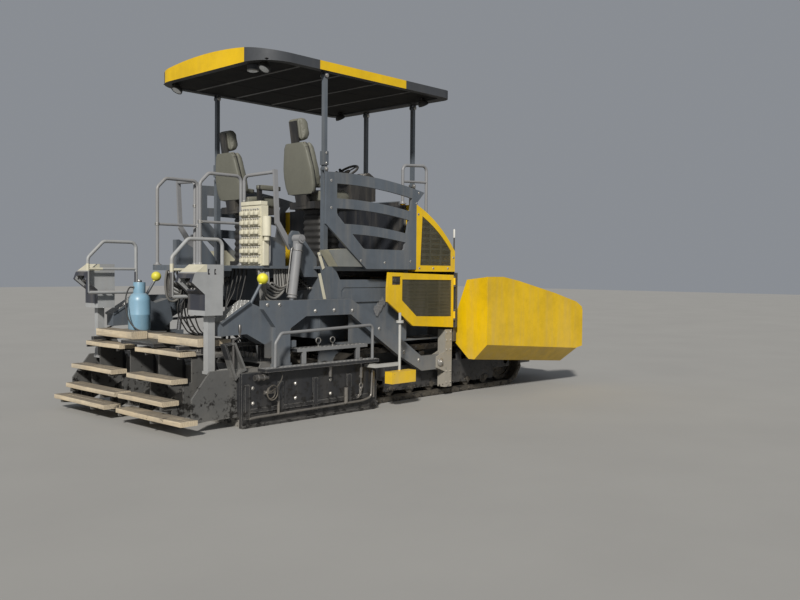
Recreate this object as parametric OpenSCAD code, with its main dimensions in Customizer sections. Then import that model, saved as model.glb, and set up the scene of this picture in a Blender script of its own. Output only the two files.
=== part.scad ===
// Asphalt paver on tracks, with a folding hopper, a towed screed and a folding canopy.
// Lengths are millimetres. X runs forward, Y to the left, Z up. Stations along X are
// measured from the rear post of the end gates, and place() moves the whole machine so
// that its origin lies on the ground, under the middle of its length.

/* [Tracks] */
// Distance between the end wheels of a track
wheelbase = 2770; // [2500:10:2900]
// Height of the track loop
track_h = 680; // [640:10:700]
// Thickness of chain and shoes together
track_t = 70; // [60:1:80]
// Depth of the groove between two shoes
shoe_groove = 30; // [20:1:40]
// Width of the groove between two shoes
shoe_gap = 34; // [20:1:50]
// Width of a shoe across the track
shoe_w = 310; // [260:5:320]
// Distance between the middle planes of the two tracks
track_gauge = 1890; // [1880:5:1900]
// Number of shoes in a loop
shoe_count = 42; // [30:1:48]
// Number of rollers on the ground run of a track
roller_count = 6; // [4:1:7]
// Radius of a ground roller
roller_r = 85; // [70:1:90]
// Station of the rear sprocket
sprocket_x = 1950; // [1940:5:2000]

/* [Chassis] */
// Thickness of the chassis plates
plate_t = 20; // [12:1:25]
// Thickness of the chassis side walls
wall_t = 40; // [30:1:45]
// Height of the chassis floor above the ground
belly_z = 230; // [200:5:240]
// Station of the chassis rear wall
chassis_rear = 1480; // [1470:5:1500]
// Station of the front cross beam
chassis_front = 5740; // [5730:5:5760]
// Height of the tunnel roof over the conveyors
tunnel_z = 820; // [800:5:840]
// Height of the hopper floor rails
rail_z = 700; // [700:1:705]
// Height of the body deck below the operators
body_z = 1240; // [1230:5:1245]
// Length of the engine
engine_l = 700; // [600:10:720]
// Width of the engine
engine_w = 900; // [700:10:1000]
// Height of the engine
engine_h = 700; // [500:10:720]

/* [Conveyors] */
// Height of the conveyor floor
floor_z = 500; // [480:5:520]
// Distance between two conveyor bars
slat_pitch = 330; // [250:10:450]
// Height of a conveyor bar
slat_h = 30; // [20:1:40]
// Width of the chain guard between the two conveyors
divider_w = 120; // [80:5:160]

/* [Augers] */
// Station of the auger shafts
auger_x = 1280; // [1270:1:1285]
// Height of the auger shafts
auger_z = 400; // [380:5:420]
// Radius of an auger flight
auger_r = 180; // [150:5:185]
// Radius of an auger shaft
auger_shaft_r = 45; // [35:1:50]
// Pitch of an auger flight
auger_pitch = 300; // [250:10:400]
// Thickness of an auger flight
flight_t = 16; // [12:1:20]
// Distance from the middle of the machine to the end of an auger
auger_end = 1180; // [1000:10:1200]

/* [Hopper] */
// Thickness of the hopper plates
hopper_t = 25; // [20:1:30]
// Station of the front face of the hopper rear wall
hopper_rear = 3440; // [3435:1:3445]
// Height of the hopper rear wall
hopper_wall_z = 2040; // [1900:10:2060]
// Length of a wing
wing_l = 2250; // [2100:10:2260]
// Distance from the middle of the machine to a wing's outer face
wing_y = 1720; // [1700:5:1740]
// Height of a wing at its rear end
wing_rear_z = 1540; // [1500:10:1600]
// Height of a wing at its front end
wing_front_z = 1110; // [1080:10:1150]
// Angle at which the box of a wing falls to the front
wing_tilt = 4.4; // [2:0.2:5]
// Height of a wing's hinge
wing_hinge_z = 760; // [755:1:765]
// Radius of the wing hinge pins
wing_pin_r = 18; // [14:1:20]

/* [Wing cylinders] */
// How far the wing cylinders stand ahead of the front idlers' axles
ram_ahead = 480; // [470:5:500]
// Height of their lower pins
ram_base_z = 190; // [185:1:195]
// Distance of their lower pins from the middle of the machine
ram_base_y = 810; // [808:1:815]
// Radius of a barrel
ram_r = 40; // [34:1:42]
// Radius of a rod
ram_rod_r = 22; // [18:1:24]

/* [Push bar] */
// Length of the push bar across the machine
push_w = 1900; // [1700:10:2000]
// Radius of a push roller
push_r = 85; // [75:1:88]
// Length of a push roller
push_roller_l = 760; // [600:10:770]
// Height of the push rollers' axles
push_z = 500; // [480:5:520]
// Radius of the push bar's pivot pin
push_pin_r = 22; // [18:1:24]

/* [Body panels] */
// Distance from the middle of the machine to the outer face of hood, doors and guards
skin_y = 1275; // [1270:1:1280]
// Thickness of hood, doors and guards
skin_t = 30; // [24:1:32]
// Station of the hood's rear edge
hood_rear = 2600; // [2590:5:2620]
// Station of the hood's front edge
hood_front = 3340; // [3335:1:3345]
// Height of the hood's lower edge
hood_z = 1600; // [1595:1:1605]
// Height of the hood at its front edge
hood_front_z = 1860; // [1800:10:1900]
// Height of the hood at its rear edge
hood_rear_z = 2420; // [2380:10:2430]
// Height of the guards beside the operators at the top of their arch
guard_top_z = 2700; // [2660:5:2720]
// Width of a guard's frame above its window
guard_edge = 125; // [100:5:140]
// Height of a slat in a guard's window
guard_slat_h = 110; // [80:5:120]
// Width of the frames round the grilles
grille_edge = 75; // [60:1:90]
// Number of slots in a grille from top to bottom
slot_rows = 11; // [6:1:14]

/* [Platform] */
// Height of the top of the operators' deck
deck_z = 1650; // [1645:1:1655]
// Station of the deck's rear edge
deck_rear = 450; // [440:5:460]
// Distance from the middle of the machine to the body's lower sides
body_y = 1140; // [1130:1:1142]
// Height of the valve cabinet
cabinet_h = 650; // [500:10:700]
// Diameter of the handrail tubes
rail_d = 38; // [30:1:42]
// Radius of a handrail's bends
rail_bend = 70; // [50:5:80]
// Height of the rear handrails
handrail_z = 2650; // [2500:10:2700]
// Distance of the boarding rails from the middle of the machine
board_rail_y = 430; // [425:5:440]

/* [Canopy] */
// Station of the rear posts
post_x = 1300; // [1290:5:1310]
// Distance of the rear posts from the middle of the machine
post_y = 1040; // [1030:5:1045]
// Distance of the front posts from the middle of the machine
front_post_y = 450; // [400:10:600]
// Height of the posts' lower pivots
pivot_z = 2750; // [2745:5:2780]
// Length of a post between its pivots
post_l = 1050; // [1000:10:1060]
// Width of a post
post_w = 50; // [40:1:54]
// Radius of the pivot pins
pivot_r = 12; // [10:1:14]
// Station of the roof's rear edge
roof_rear = 400; // [380:10:450]
// Station of the roof's front edge
roof_front = 3460; // [3450:5:3500]
// Distance from the middle of the machine to the roof's side
roof_y = 1110; // [1100:5:1200]
// Height of the roof's edge
roof_edge_h = 100; // [80:5:120]
// Rise of the roof from its side to its middle
roof_crown = 100; // [60:5:120]

/* [Seats] */
// Width of a seat
seat_w = 480; // [420:10:500]
// Height of a seat cushion's top above the deck
seat_h = 900; // [750:10:940]
// Length of a back cushion
back_l = 530; // [450:10:600]

/* [Screed] */
// Station of the main screed's rear face
screed_rear = 450; // [445:1:455]
// Length of the main screed along the machine
screed_l = 500; // [450:10:520]
// Height of the main screed
screed_h = 500; // [480:5:520]
// Distance from the middle of the machine to the main screed's end
screed_y = 1235; // [1225:1:1238]
// Thickness of the sole plates
sole_t = 25; // [16:1:30]
// Length of an extension along the machine
ext_l = 430; // [400:5:435]
// Height of an extension
ext_h = 560; // [540:5:570]
// Inner face of an end gate
gate_y = 1280; // [1278:1:1285]
// Thickness of an end gate
gate_t = 40; // [25:1:42]
// Length of an end gate
gate_l = 1920; // [1800:10:1940]
// Height of an end gate
gate_h = 560; // [500:10:565]
// Depth of the guide rails inside an extension
guide_d = 50; // [40:1:70]
// Height of a guide rail
guide_h = 70; // [50:1:80]

/* [Tow arms] */
// Inner face of a tow arm
arm_y = 1150; // [1148:1:1152]
// Thickness of a tow arm
arm_t = 70; // [50:1:72]
// Station of the tow pins
tow_x = 3100; // [3095:1:3105]
// Height of the tow pins
tow_z = 450; // [445:1:455]
// Radius of the tow pins
tow_pin_r = 28; // [24:1:32]
// Height of a tow arm's beam
arm_h = 180; // [150:5:185]
// Height of an arm's rear end
arm_top_z = 1285; // [1270:5:1290]

/* [Lift cylinders] */
// Station of the upper pins
lift_x = 900; // [895:1:905]
// Height of the upper pins
lift_z = 1950; // [1940:5:1960]
// Station of the lower eyes
lift_eye_x = 740; // [735:1:745]
// Height of the lower eyes
lift_eye_z = 800; // [790:5:810]
// Distance of the lift cylinders from the middle of the machine
lift_y = 1072; // [1070:1:1074]
// Radius of a lift barrel
lift_r = 52; // [45:1:54]
// Radius of a lift rod
lift_rod_r = 28; // [24:1:32]

/* [Clearances] */
// Running clearance round pins, rods and slides
run_gap = 0.3; // [0.2:0.05:0.5]
// Clearance where one piece rests beside another
seat_gap = 0.3; // [0.2:0.05:0.5]

/* [Hidden] */
$fn = 48;
eps = 1;

// Undercarriage
track_r = track_h / 2;
wheel_r = track_r - track_t;
idler_x = sprocket_x + wheelbase;
ram_x = idler_x + ram_ahead;
track_mid_y = track_gauge / 2;
track_in = track_mid_y - shoe_w / 2;
track_out = track_mid_y + shoe_w / 2;
cheek_t = 20;
cheek_out = shoe_w / 2 - 20;
cheek_in = cheek_out - cheek_t;
beam_z0 = track_t + 2 * roller_r + 22;
beam_z1 = beam_z0 + 168;
roller_first = sprocket_x + 420;
roller_step = (wheelbase - 900) / (roller_count - 1);
carry_r = 55;
carry_z = track_h - track_t - seat_gap - carry_r;
loop_l = 2 * wheelbase + 2 * PI * track_r;
shoe_pitch = loop_l / shoe_count;

// Chassis
frame_y = track_in - 10;
frame_in = frame_y - wall_t;
bulkhead = hopper_rear - 60;
fender_z = track_h + 60;
engine_x = hood_rear + 20;

// Hopper
wing_rear = hopper_rear + 20;
wing_front = wing_rear + wing_l;
wing_hinge_y = 840;
wing_web_y = 1140;
wing_floor_z = wing_hinge_z - 10;
wing_bottom_z = 478;
hopper_mid = (wing_rear + wing_front) / 2;
knuckle_l = 120;
knuckles = [wing_rear + 150, hopper_mid - knuckle_l / 2, wing_front - 150 - knuckle_l];

// Push bar
push_bar_x0 = chassis_front + 60;
push_bar_x1 = push_bar_x0 + 60;
push_x = push_bar_x1 + push_r + 12;
push_lug_t = 40;
push_lug_gap = 20;
push_roller_y = push_w / 2 - push_lug_t - push_lug_gap - push_roller_l;
push_lug_y = push_roller_y - push_lug_gap - push_lug_t;

// Lengths of the machine, from its rear step to its push rollers
boards_rear = -800;
front_end = push_x + push_r;
mid_station = (front_end + boards_rear) / 2;

// Columns of the tow points
column_x = tow_x + 100;
column_in = body_y - plate_t;
column_out = skin_y - skin_t - 1;

// Tops of the slats in a guard, and the width of the tray inside its lower edge
guard_slat_zs = [2410, 2130];
guard_tray_w = 160;

// Rail of the console, on the panel behind the hood
console_rail_z = hood_rear_z + 50;

// Canopy
roof_z = pivot_z + post_l + 40;
front_post_x = hopper_rear - 30;
ear_t = 10;
ear_gap = post_w / 2 + 1;

// Lift cylinders
lift_dx = lift_x - lift_eye_x;
lift_dz = lift_z - lift_eye_z;
lift_l = norm([lift_dx, lift_dz]);
lift_tilt = atan2(lift_dx, lift_dz);
lift_barrel_l = 660;
lift_pin_r = 24;
lift_rod_l = 620;

// Wing cylinders: from the pin on the chassis to the lug under the wing
ram_lug_y = 1080;
ram_lug_z = 640;
ram_l = norm([ram_lug_y - ram_base_y, ram_lug_z - ram_base_z]);
ram_tilt = atan2(ram_lug_z - ram_base_z, ram_lug_y - ram_base_y);

// Guide rails of the extensions, on the rear face of the main screed
guide_zs = [120, 400];

// Moves a node from its stations to the origin of the machine
module place() { translate([-mid_station, 0, 0]) children(); }

// A block between its low and its high corner
module block(lo, hi) { translate(lo) cube(hi - lo); }

// A piece and its twin on the other side of the machine
module both_sides() {
    children();
    mirror([0, 1, 0]) children();
}

// A plate that stands along the machine, drawn in X and Z, from y0 out to y1
module side_plate(outline, y0, y1) {
    translate([0, y1, 0]) rotate([90, 0, 0]) linear_extrude(y1 - y0) polygon(outline);
}

// A plate that stands across the machine, drawn in Y and Z, from x0 forward to x1
module cross_plate(outline, x0, x1) {
    translate([x0, 0, 0]) rotate([90, 0, 90]) linear_extrude(x1 - x0) polygon(outline);
}

// A round bar along Y
module y_bar(x, z, r, y0, y1) {
    translate([x, y1, z]) rotate([90, 0, 0]) cylinder(r = r, h = y1 - y0);
}

// A round bar along X
module x_bar(y, z, r, x0, x1) {
    translate([x0, y, z]) rotate([0, 90, 0]) cylinder(r = r, h = x1 - x0);
}

// A round bar between two points
module bar(a, b, d) {
    v = b - a;
    translate(a)
        rotate([0, acos(v.z / norm(v)), atan2(v.y, v.x)])
            cylinder(d = d, h = norm(v), $fn = 24);
}

// Half the length of a weld where a tube's bend starts
weld_l = 2;

// A tube along a path of straight runs, with a round bend of radius r at each point between
module bent_tube(path, d, r) {
    runs = len(path) - 1;
    u = [for (i = [0 : runs - 1]) (path[i + 1] - path[i]) / norm(path[i + 1] - path[i])];
    turns = [for (i = [1 : runs - 1]) acos(u[i - 1] * u[i])];
    cut = concat([0], [for (a = turns) r * tan(a / 2)], [0]);
    for (i = [0 : runs - 1])
        bar(path[i] + cut[i] * u[i], path[i + 1] - cut[i + 1] * u[i], d);
    for (i = [1 : runs - 1], end = [path[i] - cut[i] * u[i - 1], path[i] + cut[i] * u[i]],
        s = [-1, 1]) bar(end, end + s * weld_l * (end - path[i]) / norm(end - path[i]), d + 0.6);
    for (i = [1 : runs - 1]) {
        axis = cross(u[i - 1], u[i]) / norm(cross(u[i - 1], u[i]));
        out = cross(u[i - 1], axis);
        centre = path[i] - cut[i] * u[i - 1] - r * out;
        multmatrix([[out.x, u[i - 1].x, axis.x, centre.x], [out.y, u[i - 1].y, axis.y,
            centre.y], [out.z, u[i - 1].z, axis.z, centre.z], [0, 0, 0, 1]])
            rotate_extrude(angle = turns[i - 1])
                translate([r, 0]) circle(d = d, $fn = min($fn, 24));
    }
}

// A hoop that stands along the machine, with a middle rail
module side_hoop(x0, x1, z0, z1, mid_z, chamfer, y) {
    bent_tube([[x0, y, z0], [x0, y, z1 - chamfer], [x0 + chamfer, y, z1],
        [x1, y, z1], [x1, y, z0]], rail_d, rail_bend);
    bar([x0, y, mid_z], [x1, y, mid_z], rail_d * 0.8);
}

// A point on the track's outline, at a distance along it and a height above it
function loop_at(s, up) =
    let (half = PI * track_r, out = track_r + up)
    s < wheelbase ? [s, -out]
    : s < wheelbase + half
        ? let (a = (s - wheelbase) / track_r * 180 / PI - 90)
            [wheelbase + out * cos(a), out * sin(a)]
    : s < 2 * wheelbase + half ? [2 * wheelbase + half - s, out]
    : let (a = (s - 2 * wheelbase - half) / track_r * 180 / PI + 90)
        [out * cos(a), out * sin(a)];

// The shoes' outline round the whole loop
function shoe_outline() =
    [for (i = [0 : shoe_count - 1], c = [[0, 0], [0.25, 1], [-0.25, 2], [0, 3]])
        let (along = c[1] < 2 ? shoe_gap * (0.5 + c[0])
            : shoe_pitch - shoe_gap * (0.5 - c[0]))
        loop_at((i * shoe_pitch + along) % loop_l, c[1] == 1 || c[1] == 2 ? 0 : -shoe_groove)];

// The inside of a track loop
module loop_inside(r) {
    translate([0, -r]) square([wheelbase, 2 * r]);
    circle(r = r, $fn = 96);
    translate([wheelbase, 0]) circle(r = r, $fn = 96);
}

// One track: a closed loop of shoes
module track(mid_y) {
    color("#3a3733")
        translate([sprocket_x, mid_y + shoe_w / 2, track_r]) rotate([90, 0, 0])
            linear_extrude(shoe_w) difference() {
                polygon(shoe_outline());
                loop_inside(wheel_r);
            }
}
module tracks_right() { track(-track_mid_y); }
module tracks_left() { track(track_mid_y); }

// Sprockets, idlers and rollers of both tracks
module running_gear() {
    color("#4a4640") both_sides() {
        translate([sprocket_x, track_mid_y + 30, track_r]) rotate([90, 0, 0])
            linear_extrude(60) difference() {
                circle(r = wheel_r - seat_gap, $fn = 96);
                for (i = [0 : 11])
                    rotate(i * 30) translate([wheel_r + 8, 0]) circle(r = 34, $fn = 32);
            }
        y_bar(sprocket_x, track_r, 170, frame_y, track_mid_y - 30);
        y_bar(sprocket_x, track_r, 130, track_mid_y + 30, track_mid_y + 90);
        difference() {
            y_bar(idler_x, track_r, wheel_r - seat_gap, track_mid_y - 40, track_mid_y + 40);
            y_bar(idler_x, track_r, wheel_r - 50, track_mid_y - 50, track_mid_y - 15);
            y_bar(idler_x, track_r, wheel_r - 50, track_mid_y + 15, track_mid_y + 50);
        }
        y_bar(idler_x, track_r, 60, track_mid_y - cheek_in, track_mid_y + cheek_in);
        for (i = [0 : roller_count - 1]) {
            x = roller_first + i * roller_step;
            z = track_t + seat_gap + roller_r;
            y_bar(x, z, roller_r, track_mid_y - cheek_in + 8, track_mid_y - 30);
            y_bar(x, z, roller_r, track_mid_y + 30, track_mid_y + cheek_in - 8);
            y_bar(x, z, 40, track_mid_y - cheek_in, track_mid_y + cheek_in);
        }
        for (i = [1, 3]) {
            x = roller_first + (i + 0.5) * roller_step;
            y_bar(x, carry_z, carry_r, track_mid_y - cheek_in + 8, track_mid_y + cheek_in - 8);
            y_bar(x, carry_z, 25, track_mid_y - cheek_in, track_mid_y + cheek_in);
        }
    }
}

// The beam inside a track, with the cheeks that hold its rollers
module track_frames() {
    color("#4d4f4c") both_sides() {
        x0 = sprocket_x + 300;
        x1 = idler_x - wheel_r - 30;
        block([x0, track_mid_y - cheek_in, beam_z0], [x1, track_mid_y + cheek_in, beam_z1]);
        for (s = [-cheek_out, cheek_in]) {
            side_plate([[x0, 130], [x1, 130], [x1, beam_z0], [idler_x + 80, beam_z0],
                [idler_x + 80, beam_z1], [x0, beam_z1]],
                track_mid_y + s, track_mid_y + s + cheek_t);
            for (i = [1, 3]) {
                x = roller_first + (i + 0.5) * roller_step;
                block([x - 45, track_mid_y + s, beam_z1 - eps],
                    [x + 45, track_mid_y + s + cheek_t, carry_z + 35]);
            }
        }
        for (x = [x0 + 200, x1 - 300])
            block([x, frame_y, beam_z0 + 20], [x + 160, track_mid_y - cheek_out, beam_z1 - 20]);
    }
}

// Side walls, floor, tunnel roof and body deck of the chassis
module main_frame() {
    color("#5b5f60") difference() {
        union() {
            both_sides() {
                side_plate([[chassis_rear, belly_z + 120], [chassis_rear + 160, belly_z],
                    [chassis_front, belly_z], [chassis_front, rail_z], [bulkhead, rail_z],
                    [bulkhead, body_z], [chassis_rear, body_z]], frame_in, frame_y);
                block([chassis_rear + 150, frame_in, fender_z],
                    [bulkhead, body_y - plate_t, fender_z + plate_t]);
                block([chassis_rear + 150, body_y - 2 * plate_t, fender_z],
                    [hood_rear, body_y - plate_t, body_z]);
            }
            block([chassis_rear + 160, -frame_in, belly_z],
                [chassis_front, frame_in, belly_z + plate_t]);
            block([chassis_rear, -frame_in, tunnel_z - plate_t], [bulkhead, frame_in, tunnel_z]);
            block([chassis_rear, -frame_in, tunnel_z],
                [chassis_rear + plate_t, frame_in, body_z]);
            block([chassis_rear - 230, -body_y + plate_t, body_z - plate_t],
                [hood_rear, body_y - plate_t, body_z]);
            block([chassis_front - wall_t, -frame_y, belly_z], [chassis_front, frame_y, rail_z]);
            push_pin();
            both_sides() for (x = [ram_x - 20 - run_gap - 14, ram_x + 20 + run_gap]) {
                x_bar(ram_base_y, ram_base_z, 34, x, x + 14);
                block([x, frame_in, ram_base_z - 34], [x + 14, ram_base_y,
                    ram_base_z + 34]);
                x_bar(ram_base_y, ram_base_z, 16, ram_x - 30, ram_x + 30);
            }
            both_sides() block([ram_x - 35, frame_in, ram_base_z + 33],
                [ram_x + 35, frame_y, belly_z + eps]);
        }
        both_sides() y_bar(chassis_front - 120, belly_z + 90, 30, frame_in - eps, frame_y + eps);
    }
}

// The pin of the push bar, on two lugs in front of the cross beam
module push_pin() {
    for (z = [push_z - 110, push_z + 80])
        block([chassis_front - eps, -90, z], [push_bar_x1, 90, z + 30]);
    translate([push_bar_x0 + 30, 0, push_z - 110]) cylinder(r = push_pin_r, h = 220);
}

// Rear wall of the hopper, its floor rails, wing hinge pins and front apron
module hopper_body() {
    color("#34322e") {
        cross_plate([[-1225, rail_z], [1225, rail_z], [1225, 1500], [1000, hopper_wall_z],
            [-1000, hopper_wall_z], [-1225, 1500]], bulkhead, hopper_rear);
        both_sides() {
            block([hopper_rear, frame_in - 60, rail_z],
                [chassis_front, wing_hinge_y - 60, rail_z + plate_t]);
            for (x = knuckles) {
                x_bar(wing_hinge_y, wing_hinge_z, wing_pin_r, x - 30, x + knuckle_l + 30);
                for (lug = [x - 30, x + knuckle_l + run_gap])
                    block([lug, wing_hinge_y - 70, rail_z],
                        [lug + 30 - run_gap, wing_hinge_y + 16, wing_hinge_z + 16]);
            }
        }
        both_sides() {
            block([front_post_x - 30, front_post_y - 30, hopper_wall_z - eps],
                [front_post_x + 30, front_post_y + 30, pivot_z - 50]);
            post_ears(front_post_x, front_post_y);
            block([door_hinge_x + 17, 1190, door_z0], [bulkhead + eps, skin_y + 14, door_z1]);
            for (z = hinge_rows) {
                for (lug = [z - 25, z + hinge_h + run_gap]) {
                    translate([door_hinge_x, skin_y, lug]) cylinder(r = 14, h = 25 - run_gap);
                    block([door_hinge_x, skin_y - 14, lug],
                        [door_hinge_x + 18, skin_y + 14, lug + 25 - run_gap]);
                }
                translate([door_hinge_x, skin_y, z - 25])
                    cylinder(r = hinge_r, h = hinge_h + 50);
            }
        }
        translate([bulkhead + 30, -1200, 1550]) cylinder(r = 9, h = 590);
        cross_plate([[-frame_in, rail_z + plate_t], [frame_in, rail_z + plate_t],
            [frame_in, rail_z + 200], [frame_in - 60, rail_z + 260],
            [-frame_in + 60, rail_z + 260], [-frame_in, rail_z + 200]],
            chassis_front - 60, chassis_front - 60 + plate_t);
    }
}

// Two slat conveyors on one floor, with the chain guard between them
module conveyors() {
    x0 = chassis_rear + 20;
    x1 = chassis_front - wall_t;
    count = floor((x1 - x0 - 300) / slat_pitch);
    color("#4b4640") {
        block([x0, -frame_in, floor_z - plate_t], [x1, frame_in, floor_z]);
        block([x0, -divider_w / 2, floor_z - eps], [x1, divider_w / 2, floor_z + 90]);
        for (i = [0 : count], s = [-1, 1])
            translate([x1 - 120 - i * slat_pitch, s * (frame_in + divider_w / 2) / 2, floor_z])
                translate([-25, -(frame_in - divider_w / 2) / 2, -eps])
                    cube([50, frame_in - divider_w / 2, slat_h + eps]);
        y_bar(x0 + 90, floor_z - plate_t - 89, 90, -frame_in, frame_in);
    }
}

// The engine, with its feet on the tunnel roof
module engine() {
    color("#4a4d4f") {
        block([engine_x, -engine_w / 2, tunnel_z + 60],
            [engine_x + engine_l, engine_w / 2, tunnel_z + engine_h]);
        for (x = [engine_x + 60, engine_x + engine_l - 180], y = [-engine_w / 2 + 40,
            engine_w / 2 - 160])
            block([x, y, tunnel_z], [x + 120, y + 120, tunnel_z + 60 + eps]);
    }
}

// The hood's outline from the side: straight rear and front, arched top
hood_arch = let (a = [hood_front, hood_front_z], b = [hood_rear, hood_rear_z],
    m = (a + b) / 2, n = [a.y - b.y, b.x - a.x] / norm(a - b))
    [for (i = [0 : 8]) let (t = i / 8) a + (b - a) * t - n * 4 * 60 * t * (1 - t)];
function hood_outline(inset) =
    concat([[hood_rear + inset, hood_z], [hood_front - inset, hood_z]],
        [for (p = hood_arch) [min(max(p.x, hood_rear + inset), hood_front - inset),
            p.y - inset * 1.1]]);

// A window with rounded slots for a grille, drawn in X and Z
module grille_slots(x0, x1, z0, z1, rows, columns) {
    row_h = (z1 - z0) / rows;
    col_w = (x1 - x0) / columns;
    for (r = [0 : rows - 1], c = [0 : columns - 1])
        translate([x0 + (c + 0.08) * col_w, z0 + (r + 0.2) * row_h])
            square([col_w * 0.84, row_h * 0.6]);
}

// Pads on the hood for the front hoops: station and height of each
hoop_y = 1000;
hoop_pads = [[hood_rear + 40, hood_rear_z + 20], [hood_rear + 480, 2150]];

// The hood: an arched cover over both sides, with a grille window in each
module engine_hood() {
    color("#d9b70e") {
        difference() {
            side_plate(hood_outline(0), -skin_y, skin_y);
            side_plate(concat([[hood_rear + skin_t, hood_z - eps],
                [hood_front - skin_t, hood_z - eps]],
                [for (p = hood_arch) [min(max(p.x, hood_rear + skin_t), hood_front - skin_t),
                    p.y - skin_t * 1.1]]), -skin_y + skin_t, skin_y - skin_t);
            side_plate(window_outline(grille_edge), -skin_y - eps, skin_y + eps);
        }
        both_sides() for (pad = hoop_pads)
            block([pad.x - 25, hoop_y - 25, pad.y - 95], [pad.x + 25, hoop_y + 25, pad.y]);
    }
}
function window_outline(e) =
    concat([[hood_rear + e, hood_z + e], [hood_front - e, hood_z + e]],
        [for (i = [1 : 7]) let (p = hood_arch[i])
            [min(max(p.x, hood_rear + e), hood_front - e), p.y - e * 1.2]]);

// The grilles in the hood's windows
module hood_grilles() {
    color("#2b2a24") both_sides()
        translate([0, skin_y - 8, 0]) rotate([90, 0, 0]) linear_extrude(8)
            difference() {
                polygon(window_outline(grille_edge));
                intersection() {
                    polygon(window_outline(grille_edge + 14));
                    grille_slots(hood_rear + grille_edge, hood_front - grille_edge,
                        hood_z + grille_edge, hood_rear_z, slot_rows, 3);
                }
            }
}

// A side door: a framed grille that turns on two hinges at its front edge
door_hinge_x = hood_front - 5;
door_front = hood_front - 22;
door_rear = 2100;
door_z0 = 885;
door_z1 = hood_z - 12;
hinge_r = 8;
hinge_h = 90;
hinge_rows = [1000, 1430];
module side_door() {
    outline = [[door_rear, 1240], [2550, door_z0 + 50], [door_front, door_z0],
        [door_front, door_z1 - 30], [door_rear + 20, door_z1], [door_rear, 1410]];
    window = [[door_rear + 255, 1250], [2615, door_z0 + 165], [door_front - 40, door_z0 + 140],
        [door_front - 40, door_z1 - 95], [door_rear + 255, door_z1 - 85]];
    color("#d9b70e") difference() {
        union() {
            side_plate(outline, skin_y - skin_t, skin_y);
            for (z = hinge_rows) {
                translate([door_hinge_x, skin_y, z]) cylinder(r = 14, h = hinge_h);
                block([door_front - eps, skin_y - 12, z],
                    [door_hinge_x, skin_y - 2, z + hinge_h]);
            }
        }
        difference() {
            side_plate(window, skin_y - skin_t - eps, skin_y + eps);
            translate([0, skin_y - 10, 0]) rotate([90, 0, 0]) linear_extrude(8)
                difference() {
                    square([4000, 2000]);
                    grille_slots(door_rear + 255, door_front - 40, door_z0 + 140,
                        door_z1 - 85, slot_rows, 4);
                }
        }
        side_plate([[door_rear + 80, 1435], [door_rear + 230, 1435], [door_rear + 230, 1540],
            [door_rear + 80, 1540]], skin_y - 12, skin_y + eps);
        for (z = hinge_rows)
            translate([door_hinge_x, skin_y, z - eps])
                cylinder(r = hinge_r + run_gap, h = hinge_h + 2 * eps);
    }
}
module side_door_left() { side_door(); }
module side_door_right() { mirror([0, 1, 0]) side_door(); }

// The operators' deck, its skirts, the boarding step and the panel behind the hood
module platform() {
    color("#6a6e6f") {
        block([deck_rear, -970, deck_z - 30], [post_x - 120, 970, deck_z]);
        block([post_x - 120, -body_y, deck_z - 30], [hood_rear, body_y, deck_z]);
        block([1800, -skin_y + skin_t, deck_z - 30], [hood_rear, skin_y - skin_t, deck_z]);
        both_sides() {
            difference() {
                side_plate([[post_x - 120, deck_z - 30 + eps], [1215, 1280], [1250, body_z],
                    [hood_rear, body_z], [hood_rear, deck_z - 30 + eps]], body_y - 20, body_y);
                side_plate([[1400, 1600], [1460, 1500], [2540, 1500], [2540, 1600]],
                    body_y - 20 - eps, body_y + eps);
                side_plate([[1480, 1300], [1480, 1370], [1520, 1410], [2540, 1410], [2540, 1380],
                    [1530, 1380], [1510, 1360], [1510, 1300]], body_y - 8, body_y + eps);
            }
            block([post_x - 30, post_y - 30, deck_z - eps], [post_x + 30, post_y + 30,
                pivot_z - 50]);
            post_ears(post_x, post_y);
            difference() {
                side_plate([[lift_x - 60, lift_z - 60], [lift_x - 60, lift_z + 40],
                    [lift_x - 20, lift_z + 90], [lift_x + 60, lift_z + 85],
                    [lift_x + 140, lift_z], [post_x - 80, deck_z + 100],
                    [post_x - 60, deck_z - 120], [post_x - 260, deck_z - 120]],
                    970 - eps, 1005);
                y_bar(lift_x, lift_z, lift_pin_r + run_gap, 969, 1006);
            }
        }
        block([1250, -body_y + 20, body_z], [1270, body_y - 20, deck_z - 30 + eps]);
        block([hood_rear - 40, -1100, deck_z - eps], [hood_rear, 1100, hood_rear_z]);
        block([20, -board_rail_y - 30, deck_z - 60], [deck_rear + eps, board_rail_y + 30, deck_z]);
        block([hood_rear - 30, -1000, hood_rear_z - eps],
            [hood_rear - 10, 1000, console_rail_z]);
    }
}

// Two ears with a pin between them, at the foot of a canopy post
module post_ears(x, y) {
    for (s = [-ear_gap - ear_t, ear_gap])
        side_plate([[x - 25, pivot_z - 51], [x + 25, pivot_z - 51], [x + 25, pivot_z + 15],
            [x + 12, pivot_z + 28], [x - 12, pivot_z + 28], [x - 25, pivot_z + 15]],
            y + s, y + s + ear_t);
    y_bar(x, pivot_z, pivot_r, y - ear_gap - eps, y + ear_gap + eps);
}

// A disc across the guard's thickness, whose top is an arc of the guard at the given height
guard_arc_x = 1450;
guard_arc_r = 6500;
module guard_disc(top) {
    translate([guard_arc_x, skin_y + 1, top - guard_arc_r]) rotate([90, 0, 0])
        cylinder(r = guard_arc_r, h = skin_t + 2, $fn = 720);
}

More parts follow.
